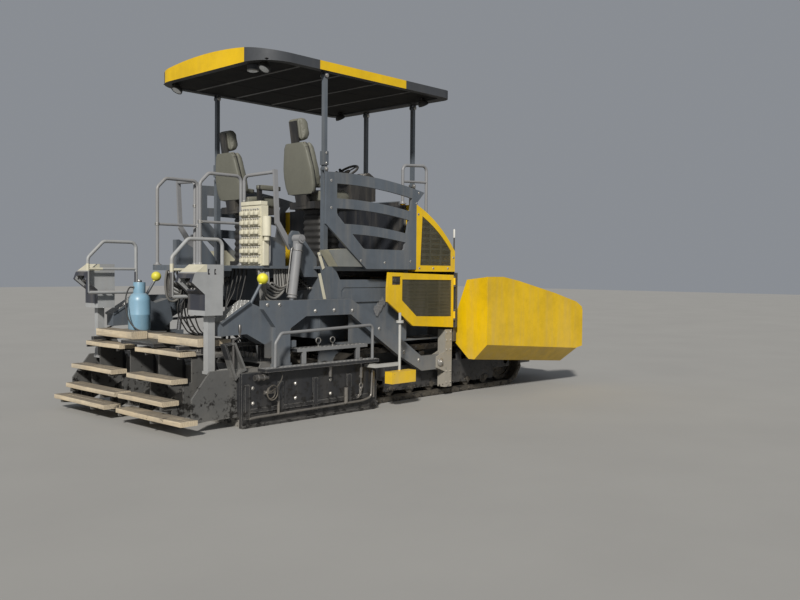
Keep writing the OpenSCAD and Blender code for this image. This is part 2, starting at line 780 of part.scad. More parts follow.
// Guards beside the operators: a plate with an arched top and two arched slats in its window
module guards() {
    outline = [[1130, 2750], [1120, 2120], [1750, 1625], [hood_rear, 1625],
        [hood_rear, hood_rear_z + 10], [2750, 2580], [2750, 2750]];
    window = [[1285, 2700], [1285, 2250], [1300, 2220], [1690, 1870], [1720, 1855], [2370, 1855],
        [2390, 1875], [2520, 2480], [2520, 2700]];
    color("#6f7374") both_sides() {
        difference() {
            intersection() {
                side_plate(outline, skin_y - skin_t, skin_y);
                guard_disc(guard_top_z);
            }
            intersection() {
                side_plate(window, skin_y - skin_t - eps, skin_y + eps);
                guard_disc(guard_top_z - guard_edge);
                union() {
                    difference() {
                        side_plate([[1200, 1800], [2700, 1800], [2700, 2750], [1200, 2750]],
                            skin_y - skin_t - eps, skin_y + eps);
                        guard_disc(guard_slat_zs[0]);
                    }
                    for (i = [0, 1]) difference() {
                        guard_disc(guard_slat_zs[i] - guard_slat_h);
                        if (i == 0) guard_disc(guard_slat_zs[1]);
                    }
                }
            }
        }
        side_plate([[1190, 1832], [1474, 1854], [1720, deck_z + seat_gap],
            [1332, deck_z + seat_gap]],
            skin_y - skin_t - guard_tray_w, skin_y - skin_t - seat_gap);
    }
}

// Boarding rails, the transverse rails with their flat outer posts, and the front hoops
module handrails() {
    inner = board_rail_y + 60;
    color("#8d9192") both_sides() {
        side_hoop(60, 600, deck_z, handrail_z, 2120, 110, board_rail_y);
        bent_tube([[600, inner, deck_z], [600, inner, handrail_z], [665, 942, handrail_z + 20]],
            rail_d, rail_bend);
        side_plate([[640, handrail_z + 45], [690, handrail_z + 45], [720, 2140], [905, 1890],
            [905, 1830], [860, 1830], [670, 2110]], 940, 969);
        bent_tube([[hoop_pads[0].x, hoop_y, hoop_pads[0].y], [hoop_pads[0].x, hoop_y, 2920],
            [hoop_pads[1].x, hoop_y, 2950], [hoop_pads[1].x, hoop_y, hoop_pads[1].y]],
            rail_d, rail_bend);
        bar([hoop_pads[0].x, hoop_y, 2720], [hoop_pads[1].x, hoop_y, 2740], rail_d * 0.8);
    }
}

// Seat pedestals and shells
seat_ys = [-740, 620];
module seat_frames() {
    color("#33342f") for (y = seat_ys) translate([0, y, 0]) {
        block([1330, -180, deck_z], [1720, 180, deck_z + 60]);
        block([1400, -140, deck_z + 60 - eps], [1650, 140, deck_z + seat_h - 240]);
        block([1225, -seat_w / 2 + 20, deck_z + seat_h - 240],
            [1780, seat_w / 2 - 20, deck_z + seat_h - 160]);
        translate([1270, 0, deck_z + seat_h - 200]) rotate([0, -9, 0])
            {
                cross_plate([[-90, 0], [90, 0], [100, 120], [seat_w / 2 - 25, 140],
                    [seat_w / 2, 230], [seat_w / 2 - 5, 420], [seat_w / 2 - 50, back_l + 130],
                    [seat_w / 2 - 85, back_l + 180], [85 - seat_w / 2, back_l + 180],
                    [50 - seat_w / 2, back_l + 130], [5 - seat_w / 2, 420],
                    [-seat_w / 2, 230], [25 - seat_w / 2, 140], [-100, 120]], -50, 0);
                block([-45, -60, back_l + 179], [-20 - seat_gap, 60, back_l + 430]);
            }
        both_sides() block([1420, seat_w / 2 + 5, deck_z + seat_h + 60],
            [1760, seat_w / 2 + 65, deck_z + seat_h + 110]);
        both_sides() block([1420, seat_w / 2 - 30, deck_z + seat_h - 200],
            [1480, seat_w / 2 + 50, deck_z + seat_h - 170]);
        both_sides() block([1420, seat_w / 2 + 15, deck_z + seat_h - 171],
            [1480, seat_w / 2 + 50, deck_z + seat_h + 61]);
    }
}

// Seat, back and head cushions
module seat_pads() {
    color("#55564a") for (y = seat_ys) translate([0, y, 0]) {
        side_plate([[1310, deck_z + seat_h - 160 + seat_gap], [1780, deck_z + seat_h - 160
            + seat_gap], [1815, deck_z + seat_h - 120], [1810, deck_z + seat_h - 40],
            [1740, deck_z + seat_h], [1600, deck_z + seat_h - 15],
            [1310, deck_z + seat_h - 40]], -seat_w / 2, seat_w / 2);
        translate([1270, 0, deck_z + seat_h - 200]) rotate([0, -9, 0]) {
            side_plate([[seat_gap, 190], [100, 190], [120, 230], [115, 420], [70, 150 + back_l],
                [40, 190 + back_l], [seat_gap, 190 + back_l]], -seat_w / 2, seat_w / 2);
            side_plate([[-20, 205 + back_l], [70, 205 + back_l], [110, 260 + back_l],
                [100, 420 + back_l], [60, 465 + back_l], [-20, 465 + back_l]], -140, 140);
        }
    }
}

// Valve cabinet with its module fronts, the filter bowl beside it and the side tanks
module_rows = 6;
module service_boxes() {
    cabinet = [-960, -600];
    row_h = (cabinet_h - 40) / module_rows;
    color("#cfc6a5") {
        block([480, cabinet[0], deck_z], [570, cabinet[1], deck_z + cabinet_h]);
        for (i = [0 : module_rows - 1], y = [cabinet[0] + 12, cabinet[0] + 186])
            block([460, y, deck_z + 20 + i * row_h],
                [480 + eps, y + 162, deck_z + 6 + (i + 1) * row_h]);
        translate([515, cabinet[0] - 44, deck_z + 320]) cylinder(r = 48, h = 210);
        translate([515, cabinet[0] - 44, deck_z + 270]) cylinder(r = 30, h = 51);
    }
    color("#6a6e6f") both_sides()
        side_plate([[580, deck_z], [825, deck_z], [825, 1850], [580, 1965]], 800, 938);
}

// A point of a cubic curve through four points, and the direction there
function cubic(p, t) = pow(1 - t, 3) * p[0] + 3 * t * pow(1 - t, 2) * p[1]
    + 3 * t * t * (1 - t) * p[2] + pow(t, 3) * p[3];
function heading(p, t) = let (v = pow(1 - t, 2) * (p[1] - p[0]) + 2 * t * (1 - t) * (p[2] - p[1])
    + t * t * (p[3] - p[2])) v / norm(v);

// A hose along a cubic curve, swept as one solid
hose_rings = 14;
hose_sides = 8;
module hose(p, d) {
    turn = 360 / hose_sides;
    points = [for (i = [0 : hose_rings - 1]) let (t = i / (hose_rings - 1), u = heading(p, t),
        a = cross(u, [0, 1, 0]) / norm(cross(u, [0, 1, 0])), b = cross(u, a))
        for (j = [0 : hose_sides - 1]) cubic(p, t) + d / 2 * (cos(turn * j) * a
            + sin(turn * j) * b)];
    last = (hose_rings - 1) * hose_sides;
    faces = concat([[for (j = [0 : hose_sides - 1]) j]],
        [[for (j = [hose_sides - 1 : -1 : 0]) last + j]],
        [for (i = [0 : hose_rings - 2], j = [0 : hose_sides - 1], half = [0, 1])
            let (k = (j + 1) % hose_sides, r = i * hose_sides)
            half == 0 ? [r + j, r + hose_sides + j, r + k]
                : [r + k, r + hose_sides + j, r + hose_sides + k]]);
    polyhedron(points, faces, 4);
}

// Hydraulic hoses that hang from the deck's underside to the panel in front of them
hose_d = 26;
module hoses() {
    color("#1d1d1c") for (side = [0, 1], i = [0 : 6 - 2 * side])
        mirror([0, 1 - side, 0]) {
            x = 510 + 27 * i;
            y = 915 - 45 * i;
            low = 1230 + 24 * i;
            hose([[x, y, deck_z - 30 - seat_gap], [x, y, low], [900, y - 30, low + 170],
                [1250 - seat_gap, y - 30, low + 170]], hose_d);
        }
}

// Gearbox of the augers, hung behind the chassis
module auger_mount() {
    color("#5b5f60") {
        difference() {
            union() {
                side_plate([[auger_x - 90, auger_z - 100], [auger_x + 90, auger_z - 100],
                    [auger_x + 110, tunnel_z + 200], [chassis_rear, tunnel_z + 200],
                    [chassis_rear, tunnel_z + 320], [auger_x - 40, tunnel_z + 320],
                    [auger_x - 90, tunnel_z + 260]], -70, 70);
            }
            both_sides()
                y_bar(auger_x, auger_z, auger_shaft_r - 10 + run_gap, 30, 70 + eps);
        }
    }
}

// Columns at the tow points, with the forks that hold the tow arms
module tow_columns() {
    color("#4f5354") both_sides() {
        block([column_x, column_in, 120], [hood_front - 8, column_out, 860]);
        for (y = [[column_in, arm_y - 4], [arm_y + arm_t + 4, column_out]])
            side_plate([[tow_x - 60, tow_z - 70], [column_x + eps, tow_z - 130],
                [column_x + eps, tow_z + 130], [tow_x - 60, tow_z + 70]], y[0], y[1]);
        y_bar(tow_x, tow_z, tow_pin_r, column_in, column_out);
    }
}

// Plates of a wing outside its level floor: bevel, bottom, lower bevel and outer wall,
// drawn in Y and Z at the wing's rear end
function wing_section(t) =
    [[wing_web_y, wing_floor_z], [wing_web_y, wing_floor_z - t], [1420, wing_bottom_z],
        [1515, wing_bottom_z], [wing_y, wing_bottom_z + 200], [wing_y, wing_rear_z + 300],
        [wing_y - t, wing_rear_z + 300], [wing_y - t, wing_bottom_z + 210],
        [1505, wing_bottom_z + t], [1430, wing_bottom_z + t], [wing_web_y + 10, wing_floor_z]];

// A wing seen from the side: its top edge falls to the front, its bottom is cut in front
function wing_outline() =
    [[wing_rear, wing_rear_z], [wing_rear + 330, wing_rear_z], [wing_rear + 680, wing_rear_z - 55],
        [wing_rear + 1530, wing_rear_z - 225], [wing_front - 170, wing_front_z + 75],
        [wing_front - 20, wing_front_z], [wing_front, wing_front_z - 60], [wing_front, 540],
        [wing_front - 150, 520], [wing_front - 280, 280], [wing_rear, 280]];

// A hopper wing with its rear wall, knuckles and cylinder lug
module wing() {
    fall = 2300 * sin(wing_tilt);
    color("#e3c20b") difference() {
        union() {
            cross_plate([[wing_hinge_y + 26, wing_hinge_z + 10], [wing_hinge_y + 26,
                wing_hinge_z + 10 - hopper_t], [wing_web_y + hopper_t, wing_floor_z - hopper_t],
                [wing_web_y + hopper_t, wing_floor_z]], wing_rear, wing_front);
            side_plate([[wing_rear, wing_floor_z - eps], [wing_front, wing_floor_z - eps],
                [wing_front, wing_floor_z - hopper_t - fall],
                [wing_rear, wing_floor_z - hopper_t]], wing_web_y, wing_web_y + hopper_t);
            intersection() {
                translate([wing_rear, 0, wing_floor_z]) rotate([0, wing_tilt, 0])
                    cross_plate([for (p = wing_section(hopper_t)) [p.x, p.y - wing_floor_z]],
                        -200, wing_l + 200);
                side_plate(wing_outline(), wing_hinge_y, wing_y + 100);
            }
            cross_plate([[wing_web_y, wing_floor_z - hopper_t], [1420, wing_bottom_z + 4],
                [1515, wing_bottom_z + 4], [wing_y - eps, wing_bottom_z + 204],
                [wing_y - eps, wing_rear_z - eps], [1380, wing_rear_z - 40],
                [wing_web_y, 900]], wing_rear, wing_rear + hopper_t);
            cross_plate([[1600, 560], [wing_y - eps, 560], [wing_y - eps, wing_front_z - 70],
                [1640, wing_front_z - 130]], wing_front - hopper_t, wing_front - eps);
            for (x = knuckles) {
                x_bar(wing_hinge_y, wing_hinge_z, wing_pin_r + 16, x + run_gap,
                    x + knuckle_l - run_gap);
                block([x + run_gap, wing_hinge_y, wing_hinge_z + 10 - hopper_t],
                    [x + knuckle_l - run_gap, wing_hinge_y + 27, wing_hinge_z + 10]);
            }
            cross_plate([[ram_lug_y - 40, ram_lug_z - 40], [ram_lug_y + 40, ram_lug_z - 40],
                [ram_lug_y + 70, 655], [ram_lug_y + 70, 735], [ram_lug_y - 40, 735]],
                ram_x - 12, ram_x + 12);
        }
        for (x = knuckles)
            x_bar(wing_hinge_y, wing_hinge_z, wing_pin_r + run_gap, x - eps,
                x + knuckle_l + eps);
    }
}
module wing_left() { wing(); }
module wing_right() { mirror([0, 1, 0]) wing(); }

// Moves a piece drawn along Z from the lower pin to the line of a wing cylinder
module along_ram(side) {
    mirror([0, side, 0])
        translate([ram_x, ram_base_y, ram_base_z]) rotate([-90 + ram_tilt, 0, 0]) children();
}

// Barrel of a wing cylinder, on a pin in the chassis
module wing_barrel(side) {
    color("#c9cac6") along_ram(side) difference() {
        union() {
            translate([0, 0, 50]) cylinder(r = ram_r, h = ram_l - 165);
            translate([-20, 0, 0]) rotate([0, 90, 0]) cylinder(r = 34, h = 40);
            translate([-20, -26, 0]) cube([40, 52, 60]);
        }
        translate([-21, 0, 0]) rotate([0, 90, 0]) cylinder(r = 16 + run_gap, h = 42);
        translate([0, 0, 90]) cylinder(r = ram_rod_r + run_gap, h = 400);
    }
}
module wing_barrel_right() { wing_barrel(1); }
module wing_barrel_left() { wing_barrel(0); }

// Rod of a wing cylinder: its fork stands astride the wing's lug
module wing_rod(side) {
    color("#d5d6d2") along_ram(side) {
        translate([0, 0, 100]) cylinder(r = ram_rod_r, h = ram_l - 100 - 95);
        translate([-34, -28, ram_l - 96]) cube([68, 56, 22]);
        for (x = [-34, 20]) translate([x, 0, ram_l - 75]) {
            translate([0, -28, 0]) cube([14, 56, 75]);
            translate([0, 0, 75]) rotate([0, 90, 0]) cylinder(r = 28, h = 14);
        }
    }
}
module wing_rod_right() { wing_rod(1); }
module wing_rod_left() { wing_rod(0); }

// The bar in front of the hopper that carries the push rollers
module push_bar() {
    color("#6a6557") difference() {
        union() {
            block([push_bar_x0, -push_w / 2, push_z - 75], [push_bar_x1, push_w / 2, push_z + 75]);
            both_sides() for (y = [push_lug_y, push_w / 2 - push_lug_t])
                block([push_bar_x1 - eps, y, push_z - 60],
                    [push_x + 40, y + push_lug_t, push_z + 60]);
            both_sides() y_bar(push_x, push_z, 22, push_lug_y, push_w / 2);
        }
        translate([push_bar_x0 + 30, 0, push_z - 80])
            cylinder(r = push_pin_r + run_gap, h = 160);
    }
}

// A push roller on its axle
module push_roller() {
    color("#55514a") difference() {
        y_bar(push_x, push_z, push_r, push_roller_y, push_roller_y + push_roller_l);
        y_bar(push_x, push_z, 22 + run_gap, push_roller_y - 1,
            push_roller_y + push_roller_l + 1);
    }
}
module push_roller_left() { push_roller(); }
module push_roller_right() { mirror([0, 1, 0]) push_roller(); }

// Helical flight round a shaft along Y: each step is a radial strip, turned by its place
module flight(y0, y1, steps) {
    turn = 360 / auger_pitch;
    pts = [for (i = [0 : steps], c = [[0, 0], [1, 0], [1, 1], [0, 1]])
        let (y = y0 + (y1 - y0 - flight_t) * i / steps, a = (y - y0) * turn,
            r = c[0] == 0 ? auger_shaft_r - 6 : auger_r)
        [r * cos(a), y + c[1] * flight_t, r * sin(a)]];
    faces = concat([[0, 1, 2, 3]],
        [for (i = [0 : steps - 1], k = [0 : 3])
            let (a = 4 * i + k, b = 4 * i + (k + 1) % 4) each [[a, a + 4, b + 4], [a, b + 4, b]]],
        [[4 * steps + 3, 4 * steps + 2, 4 * steps + 1, 4 * steps]]);
    translate([auger_x, 0, auger_z]) polyhedron(pts, faces, convexity = 10);
}
module auger() {
    color("#57524a") {
        y_bar(auger_x, auger_z, auger_shaft_r, 90, auger_end);
        y_bar(auger_x, auger_z, auger_shaft_r - 10, 35, 91);
        flight(100, auger_end - 5, 60);
    }
}
module auger_left() { auger(); }
module auger_right() { mirror([0, 1, 0]) auger(); }

// The neck behind a tow arm, with its sloped tread, and the rod with a ball on it
neck_in = 1000;
module arm_neck() {
    side_plate([[-180, 930], [-180, 1060], [180, 1270], [380, 1192], [560, 1240], [620, 980],
        [480, 860], [380, 820], [150, 940]], neck_in, arm_y + eps);
    side_plate([[-180, 1059], [180, 1269], [168, 1290], [-192, 1080]], neck_in - 10, arm_y + 30);
    bar([250, 1060, 1230], [412, 1060, 1480], 34);
    translate([422, 1060, 1512]) sphere(r = 60, $fn = 64);
}

// The two arms that tow the screed, with the lugs of the lift cylinders
module tow_arms() {
    outline = [[tow_x + 30, tow_z + 90], [2780, tow_z + 90], [2470, 740], [2140, 920],
        [2070, 1000], [1560, arm_top_z - 5], [310, arm_top_z], [310, arm_top_z - 90],
        [470, 1000], [470, screed_h + 110], [670, screed_h + 110], [670, 980],
        [890, arm_top_z - arm_h], [1560, arm_top_z - arm_h], [1920, 860], [2360, 580],
        [2780, tow_z - 90], [tow_x + 30, tow_z - 90]];
    color("#5d6162") both_sides() difference() {
        union() {
            side_plate(outline, arm_y, arm_y + arm_t);
            y_bar(tow_x, tow_z, 95, arm_y, arm_y + arm_t);
            arm_neck();
            block([screed_rear + 5, arm_y, screed_h], [690, arm_y + arm_t, screed_h + 111]);
            block([lift_eye_x - 110, lift_y + 30, lift_eye_z - 45],
                [lift_eye_x + 45, arm_y + eps, lift_eye_z + 45]);
            block([lift_eye_x - 110, lift_y - 50, lift_eye_z - 45],
                [lift_eye_x - 80, arm_y + eps, lift_eye_z + 45]);
            block([lift_eye_x - 110, lift_y - 50, lift_eye_z - 45],
                [lift_eye_x + 45, lift_y - 30, lift_eye_z + 45]);
            block([620, arm_y, lift_eye_z - 25], [lift_eye_x + 45, arm_y + 30, lift_eye_z + 45]);
        }
        y_bar(tow_x, tow_z, tow_pin_r + run_gap, arm_y - eps, arm_y + arm_t + eps);
    }
}

// The main screed: a box with tamper cover, end plates and guide tube sockets
module screed_frame() {
    color("#4c4a45") {
        x1 = screed_rear + screed_l;
        block([screed_rear, -screed_y, sole_t], [x1, screed_y, screed_h]);
        both_sides() for (y = [120, 520, 900])
            side_plate([[screed_rear + 20, screed_h], [x1 - 40, screed_h],
                [x1 - 120, screed_h + 90], [screed_rear + 60, screed_h + 90]], y, y + 16);
        block([screed_rear + 60, -916, screed_h + 90], [x1 - 120, 916, screed_h + 106]);
        for (z = guide_zs)
            block([ext_l - guide_d, -screed_y, z], [screed_rear + eps, screed_y, z + guide_h]);
    }
}

// Sole plate under the main screed
module screed_soles() {
    color("#76716a") block([screed_rear - 8, -screed_y, 0],
        [screed_rear + screed_l + 10, screed_y, sole_t]);
}

// Bearers behind the main screed, with the upper walkway beams on them
bearer_z = 790;
module walkway() {
    color("#5a5850") {
        for (y = [-900, -420, 190, 860]) {
            block([-500, y, bearer_z], [screed_rear + 120, y + 50, bearer_z + 40]);
            block([screed_rear + 70, y, screed_h + 106], [screed_rear + 120, y + 50,
                bearer_z + eps]);
        }
        block([-500, -371, bearer_z + 10], [-150, 191, bearer_z + 40]);
    }
    color("#b8a88c") {
        for (ends = [[-1060, -340], [215, 1000]])
            block([-390, ends[0], bearer_z + 40], [-200, ends[1], bearer_z + 120]);
        block([-180, -1060, bearer_z + 40], [10, 1000, bearer_z + 100]);
    }
}

// A gas bottle with its collar and valve, on the walkway
module gas_bottle() {
    color("#8fb4cc") translate([-60, 620, bearer_z + 100 + seat_gap])
        rotate_extrude($fn = 64) polygon([[0, 0], [108, 0], [125, 18], [125, 345], [114, 395],
            [80, 430], [36, 445], [36, 475], [66, 475], [66, 560], [28, 560], [28, 600],
            [0, 600]]);
}

// An extension of the screed: a box with a sole, hooked on the rails of the main screed
module extension() {
    color("#4c4a45") difference() {
        block([0, 40, sole_t], [ext_l, gate_y, ext_h]);
        for (z = guide_zs)
            block([ext_l - guide_d - run_gap, 0, z - run_gap],
                [ext_l + eps, gate_y + eps, z + guide_h + run_gap]);
    }
    color("#76716a") block([0, 40, 0], [ext_l, gate_y, sole_t + eps]);
}
module extension_left() { extension(); }
module extension_right() { mirror([0, 1, 0]) extension(); }

// An end gate with its ski, its treads and its long handrail
gate_rear = -40;
module end_gate() {
    front = gate_rear + gate_l;
    color("#56544f") {
        side_plate([[gate_rear, 30], [front - 60, 30], [front, 120], [front, gate_h - 110],
            [front - 90, gate_h], [gate_rear, gate_h]], gate_y, gate_y + gate_t);
        side_plate([[gate_rear, 0], [front - 60, 0], [front, 60], [front, 90],
            [front - 60, 31], [gate_rear, 31]], gate_y, gate_y + gate_t + 25);
        for (x = [gate_rear + 30, 420, 900, 1400])
            block([x, gate_y + gate_t - eps, 90], [x + 60, gate_y + gate_t + 22, gate_h - 120]);
        block([gate_rear + 30, gate_y + gate_t - eps, 150],
            [front - 120, gate_y + gate_t + 16, 190]);
        block([190, gate_y, gate_h - eps], [1820, gate_y + 140, gate_h + 35]);
        for (x = [760, 1560])
            block([x, gate_y, gate_h + 34], [x + 50, gate_y + gate_t, 731]);
        block([700, arm_y + 10, 730], [1730, gate_y + gate_t, 765]);
        side_plate([[-570, 110], [gate_rear, 110], [gate_rear, 600], [-360, 600],
            [-570, 340]], gate_y - 60, gate_y - 40);
        block([gate_rear - eps, gate_y - 60, 110], [gate_rear + 20, gate_y + eps, gate_h]);
        difference() {
            side_plate([[-215, 860], [-80, 875], [55, ext_h + 25], [-5, ext_h + 5],
                [-80, 490]], gate_y - 85, gate_y);
            side_plate([[-190, 845], [-95, 855], [28, ext_h + 38], [-12, ext_h + 28],
                [-72, 530]], gate_y - 65, gate_y + eps);
        }
    }
    color("#9a9c98") bent_tube([[330, gate_y + 110, gate_h + 34], [335, gate_y + 110, 850],
        [410, gate_y + 110, 950], [1740, gate_y + 110, 985], [1740, gate_y + 110,
        gate_h + 34]], rail_d * 0.9, 50);
}
module end_gate_left() { end_gate(); }
module end_gate_right() { mirror([0, 1, 0]) end_gate(); }

// Wooden treads in steps behind the extensions, on cranked brackets
// Each row: station of the rear edge, height of the top, inner end, outer end
board_w = 190;
board_t = 45;
boards_right = [[-490, 770, 40, 900], [-590, 500, 40, 900], [-690, 290, 40, 900],
    [-800, 165, 200, 1400]];
boards_left = [[-490, 770, 300, 1050], [-590, 500, 300, 1210], [-690, 290, 40, 1140],
    [-800, 165, 60, 1200]];
module step_boards(rows, bracket_ys) {
    color("#b3a283") for (b = rows)
        block([b[0], b[2], b[1] - board_t], [b[0] + board_w, b[3], b[1]]);
    color("#55524b") for (y = bracket_ys) {
        side_plate([[0, ext_h], [-60, 770 - board_t], [rows[0][0],
            770 - board_t], [rows[0][0], 700], [-330, 700], [-330, 500 - board_t],
            [rows[1][0], 500 - board_t], [rows[1][0], 430], [-430, 430],
            [-430, 290 - board_t], [rows[2][0], 290 - board_t], [rows[2][0], 200],
            [-560, 200], [-560, 165 - board_t], [rows[3][0], 165 - board_t],
            [rows[3][0], 90], [-500, 60], [0, 300]], y, y + 14);
    }
}
module step_boards_right() { mirror([0, 1, 0]) step_boards(boards_right, [240, 860]); }
module step_boards_left() { step_boards(boards_left, [340, 1030]); }

// A control box on a post at the side of the screed, with its hoop
module control_pod() {
    color("#7b7e7d") {
        difference() {
            side_plate([[-200, 1150], [-410, 1150], [-410, 1360], [-560, 1480], [-530, 1560],
                [-400, 1655], [-200, 1655]], 930, 1225);
            side_plate([[-380, 1180], [-405, 1370], [-530, 1480], [-505, 1545], [-390, 1625],
                [-230, 1625], [-230, 1180]], 960, 1195);
            side_plate([[-600, 1365], [-450, 1365], [-450, 1520], [-600, 1520]], 975, 1180);
            for (x = [-375, -300])
                side_plate([[x, 1555], [x + 22, 1555], [x + 22, 1610], [x, 1610]], 1190, 1230);
        }
        block([-330, 1080, ext_h], [-250, 1160, 1151]);
        block([-331, 1060, ext_h], [40, 1180, ext_h + 30]);
    }
    color("#9a9c98") {
        side_hoop(-560, 40, 1330, 1915, 1600, 190, 870);
        bar([-560, 870, 1330], [40, 870, 1330], rail_d);
        for (x = [-360, -240]) bar([x, 870, 1330], [x, 931, 1330], rail_d * 0.8);
    }
}
module control_pod_left() { control_pod(); }
module control_pod_right() { mirror([0, 1, 0]) control_pod(); }

// A grade sensor: a screw spindle with a sliding foot, on a bracket at the end gate
module grade_sensor() {
    y = gate_y + 220;
    color("#6b6d6c") {
        block([gate_rear + gate_l - 200, gate_y + gate_t, 500],
            [gate_rear + gate_l - 120, y, 540]);
        block([gate_rear + gate_l - 200, y - 40, 500], [2100, y, 540]);
        translate([2080, y, 440 - eps]) cylinder(r = 16, h = 680);
        translate([2080, y, 1000]) cylinder(r = 45, h = 30);
    }
    color("#d6b414") block([1900, y - 60, 300], [2300, y + 60, 440]);
}
module grade_sensor_left() { grade_sensor(); }
module grade_sensor_right() { mirror([0, 1, 0]) grade_sensor(); }

// A rectangle with round corners, in plan
module rounded_plan(x0, x1, half_w, r_rear, r_front) {
    translate([x0 + r_rear, -half_w]) square([x1 - x0 - r_rear - r_front, 2 * half_w]);
    translate([x0, -half_w + r_rear]) square([r_rear + eps, 2 * (half_w - r_rear)]);
    translate([x1 - r_front - eps, -half_w + r_front])
        square([r_front + eps, 2 * (half_w - r_front)]);
    for (s = [-1, 1]) {
        translate([x0 + r_rear, s * (half_w - r_rear)]) circle(r = r_rear, $fn = 96);
        translate([x1 - r_front, s * (half_w - r_front)]) circle(r = r_front, $fn = 64);
    }
}

// The roof: a crowned shell over a flat lining, with lugs for the posts
module canopy_roof() {
    crown_r = (roof_y * roof_y + roof_crown * roof_crown) / (2 * roof_crown);
    color("#c9a90f") {
        difference() {
            intersection() {
                translate([0, 0, roof_z]) linear_extrude(roof_edge_h + roof_crown + 20)
                    rounded_plan(roof_rear, roof_front, roof_y, 380, 160);
                translate([roof_rear - 50, 0, roof_z + roof_edge_h + roof_crown - crown_r])
                    rotate([0, 90, 0])
                        cylinder(r = crown_r, h = roof_front - roof_rear + 100, $fn = 400);
            }
            translate([0, 0, roof_z - eps]) linear_extrude(21)
                rounded_plan(roof_rear + 90, roof_front - 150, roof_y - 90, 290, 80);
        }
        for (x = [post_x, front_post_x]) both_sides() {
            y = x == post_x ? post_y : front_post_y;
            top = x == post_x ? roof_z + 20 : roof_z;
            for (s = [-ear_gap - ear_t, ear_gap])
                block([x - 24, y + s, roof_z - 62], [x + 24, y + s + ear_t, top + eps]);
            y_bar(x, roof_z - 40, pivot_r, y - ear_gap - eps, y + ear_gap + eps);
        }
        translate([600, -640, roof_z - 40]) cylinder(r = 60, h = 60 + eps);
    }
}

// A canopy post between its two pivots
module post(x, y) {
    color("#55595a") difference() {
        union() {
            block([x - 22, y - post_w / 2, pivot_z], [x + 22, y + post_w / 2, pivot_z + post_l]);
            for (z = [pivot_z, pivot_z + post_l])
                y_bar(x, z, 22, y - post_w / 2, y + post_w / 2);
        }
        for (z = [pivot_z, pivot_z + post_l])
            y_bar(x, z, pivot_r + run_gap, y - post_w, y + post_w);
    }
}
module rear_posts() {
    both_sides() {
        post(post_x, post_y);
        color("#55595a") difference() {
            block([post_x - 36, post_y - 34, pivot_z + 45], [post_x + 36, post_y + 34,
                pivot_z + 200]);
            block([post_x - 22, post_y - post_w / 2, pivot_z + 44], [post_x + 22,
                post_y + post_w / 2, pivot_z + 201]);
        }
    }
}
module front_posts() { both_sides() post(front_post_x, front_post_y); }

// Moves a piece drawn along Z, from the upper pin down, to the line of a lift cylinder
module along_lift() {
    translate([lift_x, lift_y, lift_z]) rotate([0, lift_tilt, 0]) children();
}

// Barrels of the lift cylinders, each with the pin that carries it in the deck's bracket
module lift_barrels() {
    color("#5d6162") both_sides() along_lift() difference() {
        union() {
            translate([0, 0, -lift_barrel_l]) cylinder(r = lift_r, h = lift_barrel_l - 60);
            translate([0, 62, 0]) rotate([90, 0, 0]) cylinder(r = 46, h = 124);
            translate([-36, -40, -80]) cube([72, 80, 60]);
            translate([0, 70, 0]) rotate([90, 0, 0]) cylinder(r = lift_pin_r, h = 172);
        }
        translate([0, 0, -lift_barrel_l - eps])
            cylinder(r = lift_rod_r + run_gap, h = lift_barrel_l - 80);
    }
}

// Rods of the lift cylinders, with a flat eye between the lugs of the tow arm
module lift_rods() {
    color("#d5d6d2") both_sides() along_lift() {
        translate([0, 0, -lift_l + 36]) cylinder(r = lift_rod_r, h = lift_rod_l - 36);
        difference() {
            translate([0, 20, -lift_l]) rotate([90, 0, 0]) cylinder(r = 38, h = 40);
            translate([0, 21, -lift_l]) rotate([90, 0, 0]) cylinder(r = 22, h = 42);
        }
    }
}

// The console on its rail across the deck, with wheel and levers
module console() {
    y = -200;
    rail_x = [hood_rear - 30, hood_rear - 10];
    color("#2e2f2c") {
        side_plate([[2420, 2500], [2720, 2500], [2720, 2800], [2600, 2860], [2450, 2760]],
            y - 240, y + 240);
        for (hook = [[rail_x[0] - 20, rail_x[0] - run_gap], [rail_x[1] + run_gap,
            rail_x[1] + 20]])
            block([hook[0], y - 200, hood_rear_z + 12], [hook[1], y + 200, 2501]);
        translate([2500, y, 2790]) rotate([0, -35, 0]) {
            cylinder(r = 18, h = 100);
            translate([0, 0, 95]) cylinder(r = 40, h = 22);
            translate([0, 0, 106]) rotate_extrude($fn = 64) translate([150, 0]) rotate(22.5)
                circle(r = 15, $fn = 8);
            for (a = [0, 120, 240]) rotate(a) translate([-10, 20, 100]) cube([20, 124, 12]);
        }
    }
}

place() main_frame();
place() tracks_right();
place() tracks_left();
place() running_gear();
place() track_frames();
place() hopper_body();
place() conveyors();
place() engine();
place() engine_hood();
place() hood_grilles();
place() side_door_right();
place() side_door_left();
place() platform();
place() guards();
place() handrails();
place() seat_frames();
place() seat_pads();
place() service_boxes();
place() hoses();
place() auger_mount();
place() tow_columns();
place() wing_right();
place() wing_left();
place() wing_barrel_right();
place() wing_barrel_left();
place() wing_rod_right();
place() wing_rod_left();
place() push_bar();
place() push_roller_right();
place() push_roller_left();
place() auger_right();
place() auger_left();
place() tow_arms();
place() screed_frame();
place() screed_soles();
place() walkway();
place() gas_bottle();
place() extension_right();
place() extension_left();
place() end_gate_right();
place() end_gate_left();
place() step_boards_right();
place() step_boards_left();
place() control_pod_right();
place() control_pod_left();
place() grade_sensor_right();
place() grade_sensor_left();
place() canopy_roof();
place() rear_posts();
place() front_posts();
place() lift_barrels();
place() lift_rods();
place() console();
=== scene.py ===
"""Looks of an asphalt paver: each CAD node's finish, and the meshes that CAD leaves to Blender.

Places are given in metres from a station: x is measured forward from the rear posts of the end
gates, y to the operators' left and z up from the road, as in the part's source.
"""

import math
from collections import namedtuple

import bmesh
import bpy
import numpy as np
from mathutils import Matrix, Vector


